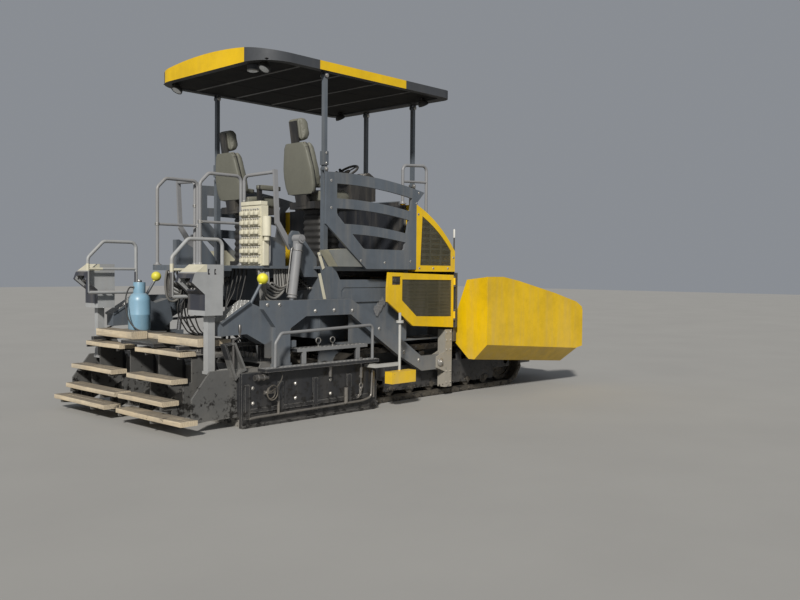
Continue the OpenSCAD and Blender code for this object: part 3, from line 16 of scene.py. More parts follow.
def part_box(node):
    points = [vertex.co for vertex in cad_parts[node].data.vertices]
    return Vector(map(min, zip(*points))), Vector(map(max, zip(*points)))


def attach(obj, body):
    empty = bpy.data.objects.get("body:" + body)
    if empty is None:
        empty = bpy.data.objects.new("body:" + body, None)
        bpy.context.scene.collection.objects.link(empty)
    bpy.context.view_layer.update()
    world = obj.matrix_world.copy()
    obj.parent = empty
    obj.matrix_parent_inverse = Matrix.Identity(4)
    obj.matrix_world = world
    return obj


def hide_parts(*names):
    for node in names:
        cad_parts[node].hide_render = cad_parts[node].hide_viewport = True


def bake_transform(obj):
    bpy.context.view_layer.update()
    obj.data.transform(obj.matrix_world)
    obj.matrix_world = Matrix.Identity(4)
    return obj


bl_info = {
    "name": "Asphalt Paver Looks",
    "version": (1, 0, 0),
    "blender": (4, 5, 0),
    "location": "View3D > Sidebar > Paver",
    "description": "Finishes and fine pieces of a tracked asphalt paver",
    "category": "Object",
}

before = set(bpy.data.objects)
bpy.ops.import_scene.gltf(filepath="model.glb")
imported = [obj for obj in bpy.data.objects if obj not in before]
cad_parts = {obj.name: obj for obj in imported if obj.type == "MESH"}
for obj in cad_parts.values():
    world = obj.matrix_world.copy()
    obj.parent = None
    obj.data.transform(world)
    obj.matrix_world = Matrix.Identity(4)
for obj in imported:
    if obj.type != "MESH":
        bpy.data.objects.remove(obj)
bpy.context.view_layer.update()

# Places taken from the frame
STATION_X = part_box("step_boards_right")[0].x + 0.800
DECK_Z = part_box("seat_frames")[0].z
SKIN_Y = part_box("guards")[1].y
ARM_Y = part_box("tow_arms")[1].y
SIDES = (("right", -1.0), ("left", 1.0))


def at(x, y, z):
    """A place given by its station, as a row of three numbers in the frame."""
    return np.array([x + STATION_X, y, z], dtype=float)


# Shapes as whole arrays

Shape = namedtuple("Shape", "points corners counts")


def surface(points, around=False, closed=False, ends=False):
    """Four neighbours in a grid of points make each quad; around joins the last column to the
    first, closed the last row to the first, and ends puts a face on the first and last rows."""
    rows, columns = points.shape[:2]
    index = np.arange(rows * columns).reshape(rows, columns)
    wrapped = np.hstack([index, index[:, :1]]) if around else index
    wrapped = np.vstack([wrapped, wrapped[:1]]) if closed else wrapped
    quads = np.stack([wrapped[:-1, :-1], wrapped[:-1, 1:], wrapped[1:, 1:], wrapped[1:, :-1]], -1)
    corners = quads.ravel()
    counts = np.full(quads.size // 4, 4)
    if ends:
        corners = np.concatenate([corners, index[0][::-1], index[-1]])
        counts = np.append(counts, [columns, columns])
    return Shape(points.reshape(-1, 3), corners, counts)


def join(*shapes):
    """Several shapes as one."""
    starts = np.cumsum([0] + [len(s.points) for s in shapes[:-1]])
    return Shape(np.vstack([s.points for s in shapes]),
                 np.concatenate([s.corners + start for s, start in zip(shapes, starts)]),
                 np.concatenate([s.counts for s in shapes]))


def copies(shape, places, turn=None):
    """The shape at each place, turned first by one 3 by 3 matrix, or by one for each place."""
    places = np.atleast_2d(np.array(places, dtype=float))
    turn = np.eye(3) if turn is None else np.asarray(turn)
    turns = np.broadcast_to(turn, (len(places), 3, 3))
    points = np.einsum("nij,pj->npi", turns, shape.points) + places[:, None]
    step = len(shape.points) * np.arange(len(places))[:, None]
    return Shape(points.reshape(-1, 3), (shape.corners[None] + step).ravel(),
                 np.tile(shape.counts, len(places)))


def mirrored(shape):
    """The shape on the other side of the machine, with y turned round."""
    return shape._replace(points=shape.points * (1.0, -1.0, 1.0))


def laid(shape, offset=(0.0, 0.0, 0.0)):
    """The shape with its y and z exchanged, and then moved."""
    return shape._replace(points=shape.points[:, [0, 2, 1]] + offset)


def unit(rows):
    """Directions of three numbers, each made one long."""
    rows = np.array(rows, dtype=float)
    return rows / np.linalg.norm(rows, axis=-1, keepdims=True)


def facing(direction):
    """A turn that takes the z axis to a direction, and y as near to straight up as it can be."""
    z = unit(direction)
    up = np.array([0.0, 0.0, 1.0]) if abs(z[2]) < 0.99 else np.array([1.0, 0.0, 0.0])
    x = unit(np.cross(up, z))
    return np.stack([x, np.cross(z, x), z], axis=1)


OUTWARD = facing((0, 1, 0))
REARWARD = facing((-1, 0, 0))
FORWARD = facing((1, 0, 0))


def angles(count):
    """Even steps of angle round a circle."""
    return np.linspace(0.0, 2.0 * np.pi, count, endpoint=False)


def lathe(profile, sides):
    """A profile of radius and height carried round the z axis."""
    profile = np.array(profile, dtype=float)
    angle = angles(sides)
    ring = np.stack([np.cos(angle), np.sin(angle), np.zeros(sides)], -1)
    points = profile[:, :1, None] * ring[None] + profile[:, 1:, None] * (0.0, 0.0, 1.0)
    return surface(points, around=True, ends=True)


def disc(radius, edge, crown, height, sides):
    """A round cap: straight up to its edge, then a cone up to the crown's radius and flat."""
    return lathe([(radius, 0.0), (radius, edge), (crown, height), (0.0, height)], sides)


def slab(outline, depth, start=0.0):
    """A flat outline in x and y, carried along z from start for its depth."""
    outline = np.array(outline, dtype=float)
    levels = np.array([start, start + depth])
    points = np.concatenate([np.broadcast_to(outline[None], (2, len(outline), 2)),
                             np.broadcast_to(levels[:, None, None], (2, len(outline), 1))], -1)
    return surface(points, around=True, ends=True)


def side_slab(outline, y0, y1):
    """An outline of stations and heights, carried across the machine from y0 to y1."""
    return laid(slab(outline, y1 - y0, y0), at(0, 0, 0))


def block(low, high):
    """A box between two places given by station."""
    x0, y0, z0 = low
    x1, y1, z1 = high
    return side_slab([(x0, z0), (x1, z0), (x1, z1), (x0, z1)], y0, y1)


def swept(path, across, over, radius, sides, **ends):
    """Circles round the points of a path, each in the plane of two directions."""
    angle = angles(sides)[None, :, None]
    ring = np.cos(angle) * across[:, None] + np.sin(angle) * over[:, None]
    return surface(path[:, None] + radius * ring, around=True, **ends)


def tube(path, radius, sides=10, up=(0.0, 1.0, 0.0)):
    """A circle carried along a path. Its axes are the path's direction crossed with up, and that
    crossed with the direction."""
    path = np.array(path, dtype=float)
    along = unit(np.gradient(path, axis=0))
    across = unit(np.cross(along, up))
    return swept(path, across, np.cross(across, along), radius, sides, ends=True)


def ring_tube(path, radius, sides, up=(0.0, 0.0, 1.0)):
    """A circle carried round a closed flat path whose plane has the normal up."""
    path = np.array(path, dtype=float)
    along = unit(np.roll(path, -1, axis=0) - np.roll(path, 1, axis=0))
    over = np.broadcast_to(np.array(up, dtype=float), path.shape)
    return swept(path, np.cross(along, over), over, radius, sides, closed=True)


BEND_STEPS = 6


def bent(points, radius):
    """A path through points whose corners are cut by parabolas that start at radius from them."""
    points = np.array(points, dtype=float)
    into, out = unit(points[1:-1] - points[:-2]), unit(points[2:] - points[1:-1])
    t = np.linspace(0.0, 1.0, BEND_STEPS)[None, :, None]
    corner = points[1:-1][:, None]
    curve = corner - radius * into[:, None] * (1 - t) ** 2 + radius * out[:, None] * t ** 2
    return np.vstack([points[:1], curve.reshape(-1, 3), points[-1:]])


def smooth_path(points, steps=8):
    """A Catmull-Rom curve through points: a cubic between each two, with their neighbours' slope."""
    points = np.array(points, dtype=float)
    p = np.vstack([2 * points[0] - points[1], points, 2 * points[-1] - points[-2]])
    t = np.linspace(0.0, 1.0, steps, endpoint=False)[None, :, None]
    a, b, c, d = (p[i:len(p) - 3 + i][:, None] for i in range(4))
    curve = 0.5 * (2 * b + (c - a) * t + (2 * a - 5 * b + 4 * c - d) * t ** 2
                   + (3 * b - a - 3 * c + d) * t ** 3)
    return np.vstack([curve.reshape(-1, 3), points[-1:]])


def oval(length, width, steps=8):
    """Two half circles joined by straight sides, as a closed path in x and y."""
    angle = np.linspace(-np.pi / 2, np.pi / 2, steps)
    half = np.stack([width / 2 * np.cos(angle) + (length - width) / 2,
                     width / 2 * np.sin(angle), 0 * angle], -1)
    return np.vstack([half, -half])


def lengths(path):
    """How far along a path each of its points lies."""
    return np.concatenate([[0.0], np.cumsum(np.linalg.norm(np.diff(path, axis=0), axis=1))])


def points_at(path, marks):
    """The points that lie these lengths along a path."""
    length = lengths(path)
    return np.stack([np.interp(marks, length, row) for row in path.T], -1)


def spaced(path, step):
    """Points at even steps of length along a path, and the directions there."""
    path = np.array(path, dtype=float)
    marks = np.arange(step / 2, lengths(path)[-1], step)
    along = points_at(path, marks + 1e-3) - points_at(path, marks - 1e-3)
    return points_at(path, marks), unit(along)


def chain(path, link, wire):
    """Round-wire links along a path, each turned a quarter against the one before it."""
    shape = ring_tube(oval(link, link * 0.62), wire, 6)
    points, along = spaced(path, link - 4 * wire)
    side = unit(np.cross(along, (0.31, 0.95, 0.05)))
    odd = (np.arange(len(points)) % 2)[:, None]
    across = np.where(odd == 1, np.cross(along, side), side)
    turns = np.stack([along, across, np.cross(along, across)], axis=2)
    return copies(shape, points, turns)


LOZENGE_PITCH = 0.030
LOZENGE = np.array([[-0.0135, 0.0], [0.0, -0.0042], [0.0135, 0.0], [0.0, 0.0042]])


def lozenges(corner, along, across, length, width):
    """The raised pattern of a checker plate: flat pyramids in rows turned by 45 degrees to either
    side in turn, over a rectangle given by its corner, two directions and two lengths."""
    u, v = unit(along), unit(across)
    up = np.cross(u, v)
    a, b = np.meshgrid(*(np.arange(LOZENGE_PITCH / 2, side, LOZENGE_PITCH)
                         for side in (length, width)), indexing="ij")
    places = np.array(corner, dtype=float) + a.reshape(-1, 1) * u + b.reshape(-1, 1) * v
    odd = np.add.outer(np.arange(a.shape[0]), np.arange(a.shape[1])).ravel() % 2
    angle = np.radians(45.0) * (1 - 2 * odd)
    x = np.cos(angle)[:, None] * u + np.sin(angle)[:, None] * v
    turns = np.stack([x, np.cross(up, x), np.broadcast_to(up, x.shape)], axis=2)
    rows = np.stack([np.hstack([LOZENGE, np.full((4, 1), -0.0003)]),
                     np.hstack([LOZENGE * 0.62, np.full((4, 1), 0.0018)])])
    return copies(surface(rows, around=True, ends=True), places, turns)


def hex_bolt(radius, height):
    """A six-sided head with a worn top on a round washer."""
    head = lathe([(radius, 0.0), (radius, height * 0.8), (radius * 0.82, height),
                  (radius * 0.05, height)], 6)
    washer = lathe([(radius * 1.35, -0.0005), (radius * 1.35, height * 0.18),
                    (radius * 0.9, height * 0.2)], 12)
    return join(head, washer)


def inside(points, outline):
    """Which points of a plane lie in an outline: those with an odd count of edges to their right."""
    x, y = points[:, 0, None], points[:, 1, None]
    x0, y0 = np.array(outline, dtype=float).T
    x1, y1 = np.roll(x0, -1), np.roll(y0, -1)
    crossing = (y0 > y) != (y1 > y)
    cut = (x1 - x0) * (y - y0) / np.where(y1 == y0, 1e-9, y1 - y0) + x0
    return (crossing & (x < cut)).sum(axis=1) % 2 == 1


def honeycomb(outline, pitch, hole, y0, y1):
    """A perforated sheet: hexagons of one pitch that fill an outline of stations and heights, each
    with a round hole whose wall goes from y0 to y1."""
    outline = np.array(outline, dtype=float)
    low, high = outline.min(0), outline.max(0)
    rows = np.arange(low[1], high[1], pitch * math.sqrt(0.75))
    columns = np.arange(low[0], high[0], pitch)
    x, z = np.meshgrid(columns, rows)
    x = x + 0.5 * pitch * (np.arange(len(rows))[:, None] % 2)
    centres = np.stack([x.ravel(), z.ravel()], -1)
    centres = centres[inside(centres, outline)]
    angle = np.pi / 6 + np.arange(6) * np.pi / 3
    ring = np.stack([np.cos(angle), np.sin(angle)], -1)
    rings = np.stack([ring * pitch / math.sqrt(3.0), ring * hole, ring * hole])
    depth = np.array([y0, y0, y1])[:, None] * np.ones((1, 6))
    cell = np.stack([rings[..., 0], depth, rings[..., 1]], -1)
    cell = cell if y1 < y0 else cell[:, ::-1]
    places = np.stack([centres[:, 0] + STATION_X, 0 * centres[:, 0], centres[:, 1]], -1)
    return copies(surface(cell, around=True), places)


# Pieces

def mesh_of(name, shape, recalculate=True):
    """A mesh from a shape, with its doubles merged and its faces outward."""
    mesh = bpy.data.meshes.new(name)
    mesh.vertices.add(len(shape.points))
    mesh.vertices.foreach_set("co", shape.points.astype(np.float32).ravel())
    mesh.loops.add(len(shape.corners))
    mesh.loops.foreach_set("vertex_index", shape.corners.astype(np.int32))
    mesh.polygons.add(len(shape.counts))
    starts = np.concatenate([[0], np.cumsum(shape.counts)[:-1]])
    mesh.polygons.foreach_set("loop_start", starts.astype(np.int32))
    mesh.polygons.foreach_set("loop_total", shape.counts.astype(np.int32))
    mesh.update(calc_edges=True)
    mesh.validate()
    work = bmesh.new()
    work.from_mesh(mesh)
    bmesh.ops.remove_doubles(work, verts=work.verts, dist=1e-5)
    if recalculate:
        bmesh.ops.recalc_face_normals(work, faces=work.faces)
    work.to_mesh(mesh)
    work.free()
    return mesh


def placed(name, data):
    """An object of the scene that shows a mesh, a light or a camera."""
    obj = bpy.data.objects.new(name, data)
    bpy.context.scene.collection.objects.link(obj)
    return obj


def piece(name, shape, finish, body, slot=None, bevel=0.0, angle=38.0, recalculate=True):
    """A new piece with its finish; its slot argument is not used.
    It rides on a body given by its name; given anything else, its place is baked into its mesh."""
    mesh = mesh_of(name, shape, recalculate)
    mesh.polygons.foreach_set("use_smooth", np.ones(len(mesh.polygons), dtype=bool))
    mesh.set_sharp_from_angle(angle=math.radians(angle))
    mesh.materials.append(MATERIALS[finish])
    obj = placed(name, mesh)
    if bevel:
        edge = obj.modifiers.new("Rounded edges", "BEVEL")
        edge.width = bevel
        edge.segments = 2
        edge.limit_method = "ANGLE"
        edge.angle_limit = math.radians(40.0)
    if isinstance(body, str):
        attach(obj, body)
    else:
        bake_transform(obj)
    return obj


# Shader node groups and materials

def feed(tree, node, inputs):
    """Fills inputs of a node: a socket is linked, any other value is set."""
    for name, value in inputs.items():
        if isinstance(value, bpy.types.NodeSocket):
            tree.links.new(value, node.inputs[name])
        else:
            node.inputs[name].default_value = value


def add(tree, kind, inputs=None, **settings):
    """A shader node of a kind with its settings and inputs."""
    node = tree.nodes.new("ShaderNode" + kind)
    for name, value in settings.items():
        setattr(node, name, value)
    feed(tree, node, inputs or {})
    return node


def calc(tree, operation, a, b=0.0, clamp=False):
    """One step of arithmetic."""
    return add(tree, "Math", {0: a, 1: b}, operation=operation, use_clamp=clamp).outputs[0]


def times(tree, a, b, clamp=False):
    """Two values multiplied."""
    return calc(tree, "MULTIPLY", a, b, clamp)


def fade(tree, value, low, high, to_low=0.0, to_high=1.0):
    """A smooth step from to_low to to_high as the value goes from low to high."""
    return add(tree, "MapRange", {"Value": value, "From Min": low, "From Max": high,
                                  "To Min": to_low, "To Max": to_high},
               interpolation_type="SMOOTHSTEP", clamp=True).outputs[0]


def blend(tree, factor, a, b, kind="MIX"):
    """Two colours mixed; a colour is a socket or its three parts."""
    a, b = (c if isinstance(c, bpy.types.NodeSocket) else (*c, 1.0) for c in (a, b))
    return add(tree, "Mix", {0: factor, 6: a, 7: b}, data_type="RGBA", blend_type=kind).outputs[2]


def noise(tree, vector, scale, detail, rough=0.55):
    """Fractal noise between 0 and 1."""
    return add(tree, "TexNoise", {"Vector": vector, "Scale": scale, "Detail": detail,
                                  "Roughness": rough}).outputs["Fac"]


def part(tree, vector, axis):
    """A vector's part along one axis."""
    return add(tree, "SeparateXYZ", {0: vector}).outputs[axis]


def stretched(tree, place, x, y, z):
    """A place whose parts are multiplied, for patterns longer one way."""
    return add(tree, "Mapping", {"Vector": place, "Scale": (x, y, z)}).outputs[0]


def surface_normal(tree):
    """The plain normal."""
    return add(tree, "NewGeometry").outputs["Normal"]


def worn_edges(tree, source, place):
    """Where the surface turns within the width: one less the cosine between the rounded and the
    plain normal, broken up by noise."""
    rounded = add(tree, "Bevel", {"Radius": source["Width"]}, samples=4).outputs[0]
    cosine = add(tree, "VectorMath", {0: rounded, 1: surface_normal(tree)},
                 operation="DOT_PRODUCT").outputs["Value"]
    edge = fade(tree, calc(tree, "SUBTRACT", 1.0, cosine), 0.02, 0.22)
    rough = noise(tree, place, source["Scale"], 6.0, 0.7)
    patchy = fade(tree, calc(tree, "ADD", rough, times(tree, edge, 0.35)), 0.58, 0.78)
    return times(tree, times(tree, edge, patchy), source["Amount"], True)


def road_dust(tree, source, place):
    """Dust that thins out with height and lies on faces that look up."""
    cloud = noise(tree, place, source["Scale"], 5.0, 0.65)
    low = fade(tree, calc(tree, "DIVIDE", part(tree, place, "Z"), source["Height"]),
               0.0, 1.0, 1.0, 0.0)
    lying = times(tree, fade(tree, part(tree, surface_normal(tree), "Z"), 0.3, 0.95), 0.75)
    amount = calc(tree, "MAXIMUM", low, lying)
    broken = fade(tree, calc(tree, "ADD", cloud, times(tree, amount, 0.4)), 0.45, 0.9)
    return times(tree, times(tree, amount, broken), source["Amount"], True)


def blotches(tree, source, place):
    """Two sizes of noise added, for uneven colour and gloss."""
    wide = noise(tree, place, source["Scale"], 3.0)
    fine = noise(tree, place, times(tree, source["Scale"], 7.0), 6.0, 0.7)
    return calc(tree, "ADD", times(tree, wide, 0.6), times(tree, fine, 0.4))


def spatter(tree, source, place):
    """Drops and smears: noise over a threshold that falls as the cover grows, thicker low down."""
    drops = noise(tree, place, source["Scale"], 8.0, 0.75)
    low = fade(tree, part(tree, place, "Z"), 0.0, source["Height"], 0.22, 0.0)
    return fade(tree, calc(tree, "ADD", calc(tree, "ADD", drops, low), source["Cover"]), 0.74, 0.80)


def streaks(tree, source, place):
    """Stains that run down: noise stretched ten times along the height."""
    down = stretched(tree, place, 1.0, 1.0, 0.09)
    return fade(tree, noise(tree, down, source["Scale"], 5.0, 0.6), 0.42, 0.78)


# Each group's builder, the name of its output, and its inputs with their usual values
GROUPS = {
    "Worn edges": (worn_edges, "Mask", {"Width": 0.006, "Scale": 9.0, "Amount": 0.6}),
    "Road dust": (road_dust, "Mask", {"Height": 1.2, "Scale": 4.0, "Amount": 0.5}),
    "Blotches": (blotches, "Value", {"Scale": 1.5}),
    "Spatter": (spatter, "Mask", {"Scale": 12.0, "Cover": 0.0, "Height": 1.2}),
    "Streaks": (streaks, "Mask", {"Scale": 6.0}),
}


def shader_group(name):
    """A node group, made the first time that it is asked for."""
    if name in bpy.data.node_groups:
        return bpy.data.node_groups[name]
    build, output, inputs = GROUPS[name]
    tree = bpy.data.node_groups.new(name, "ShaderNodeTree")
    for label, usual in inputs.items():
        socket = tree.interface.new_socket(label, in_out="INPUT", socket_type="NodeSocketFloat")
        socket.default_value = usual
    tree.interface.new_socket(output, in_out="OUTPUT", socket_type="NodeSocketFloat")
    source = tree.nodes.new("NodeGroupInput").outputs
    target = tree.nodes.new("NodeGroupOutput").inputs
    place = add(tree, "TexCoord").outputs["Object"]
    tree.links.new(build(tree, source, place), target[output])
    return tree


def effect(tree, name, **values):
    """A group's output in a material, with the material's own values."""
    return add(tree, "Group", values, node_tree=shader_group(name)).outputs[0]


def new_material(name):
    """A material with its tree, its shader and its place socket."""
    material = bpy.data.materials.new(name)
    material.use_nodes = True
    tree = material.node_tree
    tree.nodes.clear()
    shader = add(tree, "BsdfPrincipled")
    add(tree, "OutputMaterial", {0: shader.outputs[0]})
    return material, tree, shader, add(tree, "TexCoord").outputs["Object"]


def bump(tree, height, strength, distance=0.002):
    """The normal of a relief."""
    return add(tree, "Bump", {"Height": height, "Strength": strength,
                              "Distance": distance}).outputs[0]


def scaled(rgb, factor):
    """A colour made darker or brighter."""
    return tuple(min(1.0, v * factor) for v in rgb)


DUST = (0.30, 0.265, 0.21)
TAR = (0.012, 0.011, 0.010)
STEEL = (0.23, 0.22, 0.21)
GRIME = (0.05, 0.045, 0.04)


def paint(name, base, gloss, dust, edges, dust_height=1.2, edge_width=0.006, tar=-0.10,
          chip=STEEL, relief=0.12, zones=(), stained=0.22):
    """Enamel with uneven gloss, stains, chipped edges, dust and tar. Zones recolour it: each has a
    function that makes a mask from the tree and the place, and its colour."""
    material, tree, shader, place = new_material(name)
    uneven = effect(tree, "Blotches", Scale=1.3)
    stains = effect(tree, "Streaks", Scale=7.0)
    worn = effect(tree, "Worn edges", Width=edge_width, Amount=edges)
    dusty = effect(tree, "Road dust", Height=dust_height, Amount=dust)
    tarry = effect(tree, "Spatter", Cover=tar)
    shade = base
    for mask, tint in zones:
        shade = blend(tree, mask(tree, place), shade, tint)
    shade = blend(tree, fade(tree, uneven, 0.3, 0.75, 0.0, 0.30), shade, GRIME, "MULTIPLY")
    shade = blend(tree, times(tree, stains, stained), shade, DUST)
    shade = blend(tree, worn, shade, chip)
    shade = blend(tree, dusty, shade, DUST)
    rough = fade(tree, uneven, 0.2, 0.8, gloss - 0.08, gloss + 0.16)
    height = calc(tree, "SUBTRACT", noise(tree, place, 90.0, 5.0, 0.6), times(tree, worn, 0.8))
    height = calc(tree, "ADD", height, times(tree, tarry, 1.5))
    feed(tree, shader, {
        "Base Color": blend(tree, tarry, shade, TAR),
        "Roughness": calc(tree, "ADD", rough, times(tree, dusty, 0.4), True),
        "Metallic": times(tree, worn, 0.7), "Normal": bump(tree, height, relief)})
    return material


def zone(axis, low, high, soft=0.004):
    """A mask that is 1 where a coordinate of the frame lies between low and high."""
    def mask(tree, place):
        value = part(tree, place, axis)
        return times(tree, fade(tree, value, low - soft, low + soft),
                     fade(tree, value, high - soft, high + soft, 1.0, 0.0))
    return mask


def between(rear, front, soft=0.004):
    """A mask for what lies between two stations."""
    return zone("X", STATION_X + rear, STATION_X + front, soft)


def both(*masks):
    """Where all masks hold."""
    def mask(tree, place):
        value = masks[0](tree, place)
        for other in masks[1:]:
            value = times(tree, value, other(tree, place))
        return value
    return mask


def away(axis, least):
    """A mask for what lies further than this from the machine's middle on one axis."""
    def mask(tree, place):
        value = calc(tree, "ABSOLUTE", part(tree, place, axis))
        return fade(tree, value, least - 0.002, least + 0.002)
    return mask


def normal_part(tree, axis):
    """One part of the normal, measured in the piece so that it stays when the piece moves."""
    turned = add(tree, "VectorTransform", {0: surface_normal(tree)}, vector_type="NORMAL",
                 convert_from="WORLD", convert_to="OBJECT").outputs[0]
    return part(tree, turned, axis)


def looks(axis, *steps):
    """A mask for faces by their normal's part along one axis, faded over the steps."""
    return lambda tree, _: fade(tree, normal_part(tree, axis), *steps)


def looks_in(tree, place):
    """A mask for faces that look to the machine's middle from either side."""
    side = calc(tree, "SIGN", part(tree, place, "Y"))
    return fade(tree, times(tree, normal_part(tree, "Y"), side), -0.45, -0.25, 1.0, 0.0)


def looks_along(tree, _):
    """A mask for faces that look forward or to the rear."""
    return fade(tree, calc(tree, "ABSOLUTE", normal_part(tree, "X")), 0.45, 0.55)


LOOKS_BACK = looks("X", -0.5, -0.3, 1.0, 0.0)
LOOKS_UP = looks("Z", 0.5, 0.7)
LOOKS_DOWN = looks("Z", -0.6, -0.4, 1.0, 0.0)


def plank_wood(name):
    """Weathered planks: grain stretched along y, cracks, grey and brown patches and trodden dirt."""
    material, tree, shader, place = new_material(name)
    along = stretched(tree, place, 1.0, 0.06, 1.0)
    fibre = noise(tree, along, 60.0, 8.0, 0.7)
    ring = add(tree, "TexWave", {"Vector": along, "Scale": 14.0, "Distortion": 9.0,
                                 "Detail": 4.0, "Detail Scale": 1.6},
               wave_type="BANDS", bands_direction="X").outputs["Fac"]
    patch = effect(tree, "Blotches", Scale=2.2)
    worn = effect(tree, "Worn edges", Width=0.008, Scale=16.0, Amount=0.9)
    tarry = effect(tree, "Spatter", Scale=7.0, Cover=-0.02, Height=0.5)
    upward = fade(tree, part(tree, surface_normal(tree), "Z"), 0.5, 0.9)
    trodden = times(tree, upward, fade(tree, patch, 0.25, 0.6, 0.45, 0.9))
    shade = blend(tree, fibre, (0.46, 0.37, 0.24), (0.66, 0.57, 0.42))
    for mask, tint in ((times(tree, ring, 0.35), (0.30, 0.22, 0.13)),
                       (fade(tree, patch, 0.35, 0.65, 0.0, 0.6), (0.30, 0.27, 0.22)),
                       (trodden, (0.13, 0.11, 0.085)),
                       (times(tree, worn, 0.7), (0.72, 0.63, 0.48)),
                       (times(tree, tarry, 0.85), TAR)):
        shade = blend(tree, mask, shade, tint)
    cracks = calc(tree, "ADD", fade(tree, fibre, 0.30, 0.42, 0.0, 0.6), times(tree, ring, 0.3))
    feed(tree, shader, {"Base Color": shade, "Roughness": 0.86,
                        "Normal": bump(tree, cracks, 0.7, 0.004)})
    return material


def vinyl(name, base):
    """Seat vinyl with fine leather grain, paler on worn crests and dusty on top."""
    material, tree, shader, place = new_material(name)
    uneven = effect(tree, "Blotches", Scale=3.0)
    dusty = effect(tree, "Road dust", Height=1.0, Scale=6.0, Amount=0.35)
    worn = effect(tree, "Worn edges", Width=0.012, Scale=14.0, Amount=0.5)
    shade = blend(tree, fade(tree, uneven, 0.3, 0.7, 0.0, 0.35), base, scaled(base, 0.55))
    shade = blend(tree, worn, shade, scaled(base, 1.5))
    cells = add(tree, "TexVoronoi", {"Vector": place, "Scale": 420.0},
                feature="DISTANCE_TO_EDGE").outputs["Distance"]
    feed(tree, shader, {"Base Color": blend(tree, dusty, shade, DUST),
                        "Roughness": fade(tree, uneven, 0.2, 0.8, 0.42, 0.62),
                        "Normal": bump(tree, fade(tree, cells, 0.0, 0.12), 0.25, 0.0006)})
    return material


def rubber(name, base=(0.012, 0.012, 0.012), gloss=0.55, specular=0.5):
    """Rubber and hose with a dusty bloom."""
    material, tree, shader, place = new_material(name)
    uneven = effect(tree, "Blotches", Scale=4.0)
    dusty = effect(tree, "Road dust", Height=1.0, Scale=5.0, Amount=0.4)
    shade = blend(tree, fade(tree, uneven, 0.3, 0.7, 0.0, 0.5), base, (0.05, 0.047, 0.043))
    feed(tree, shader, {"Base Color": blend(tree, dusty, shade, DUST),
                        "Roughness": fade(tree, uneven, 0.2, 0.8, gloss - 0.1, gloss + 0.15),
                        "Specular IOR Level": specular,
                        "Normal": bump(tree, noise(tree, place, 160.0, 4.0), 0.15, 0.001)})
    return material


def bare_metal(name, base, rough, dust, tar, relief):
    """Bare steel: scratches, stains, dust and tar."""
    material, tree, shader, place = new_material(name)
    uneven = effect(tree, "Blotches", Scale=5.0)
    dusty = effect(tree, "Road dust", Height=1.0, Amount=dust)
    tarry = effect(tree, "Spatter", Scale=9.0, Cover=tar)
    worn = effect(tree, "Worn edges", Width=0.008, Amount=0.8)
    shade = blend(tree, fade(tree, uneven, 0.3, 0.7), base, scaled(base, 0.45))
    shade = blend(tree, worn, shade, scaled(base, 2.2))
    shade = blend(tree, dusty, shade, DUST)
    scratches = noise(tree, stretched(tree, place, 0.1, 1.0, 1.0), 120.0, 6.0, 0.7)
    dull = calc(tree, "MAXIMUM", dusty, tarry)
    feed(tree, shader, {"Base Color": blend(tree, tarry, shade, TAR),
                        "Roughness": fade(tree, uneven, 0.2, 0.8, rough - 0.1, rough + 0.2),
                        "Metallic": calc(tree, "SUBTRACT", 0.9, dull, True),
                        "Normal": bump(tree, scratches, relief, 0.001)})
    return material


def lamp_glass(name, base):
    """A lamp's ribbed lens over its reflector."""
    material, tree, shader, place = new_material(name)
    ribs = add(tree, "TexWave", {"Vector": place, "Scale": 60.0},
               bands_direction="Y").outputs["Fac"]
    feed(tree, shader, {"Base Color": blend(tree, ribs, base, scaled(base, 0.6)),
                        "Roughness": 0.12, "Coat Weight": 0.8,
                        "Normal": bump(tree, ribs, 0.4, 0.002)})
    return material


MATERIALS = {}
FAR = 9.0


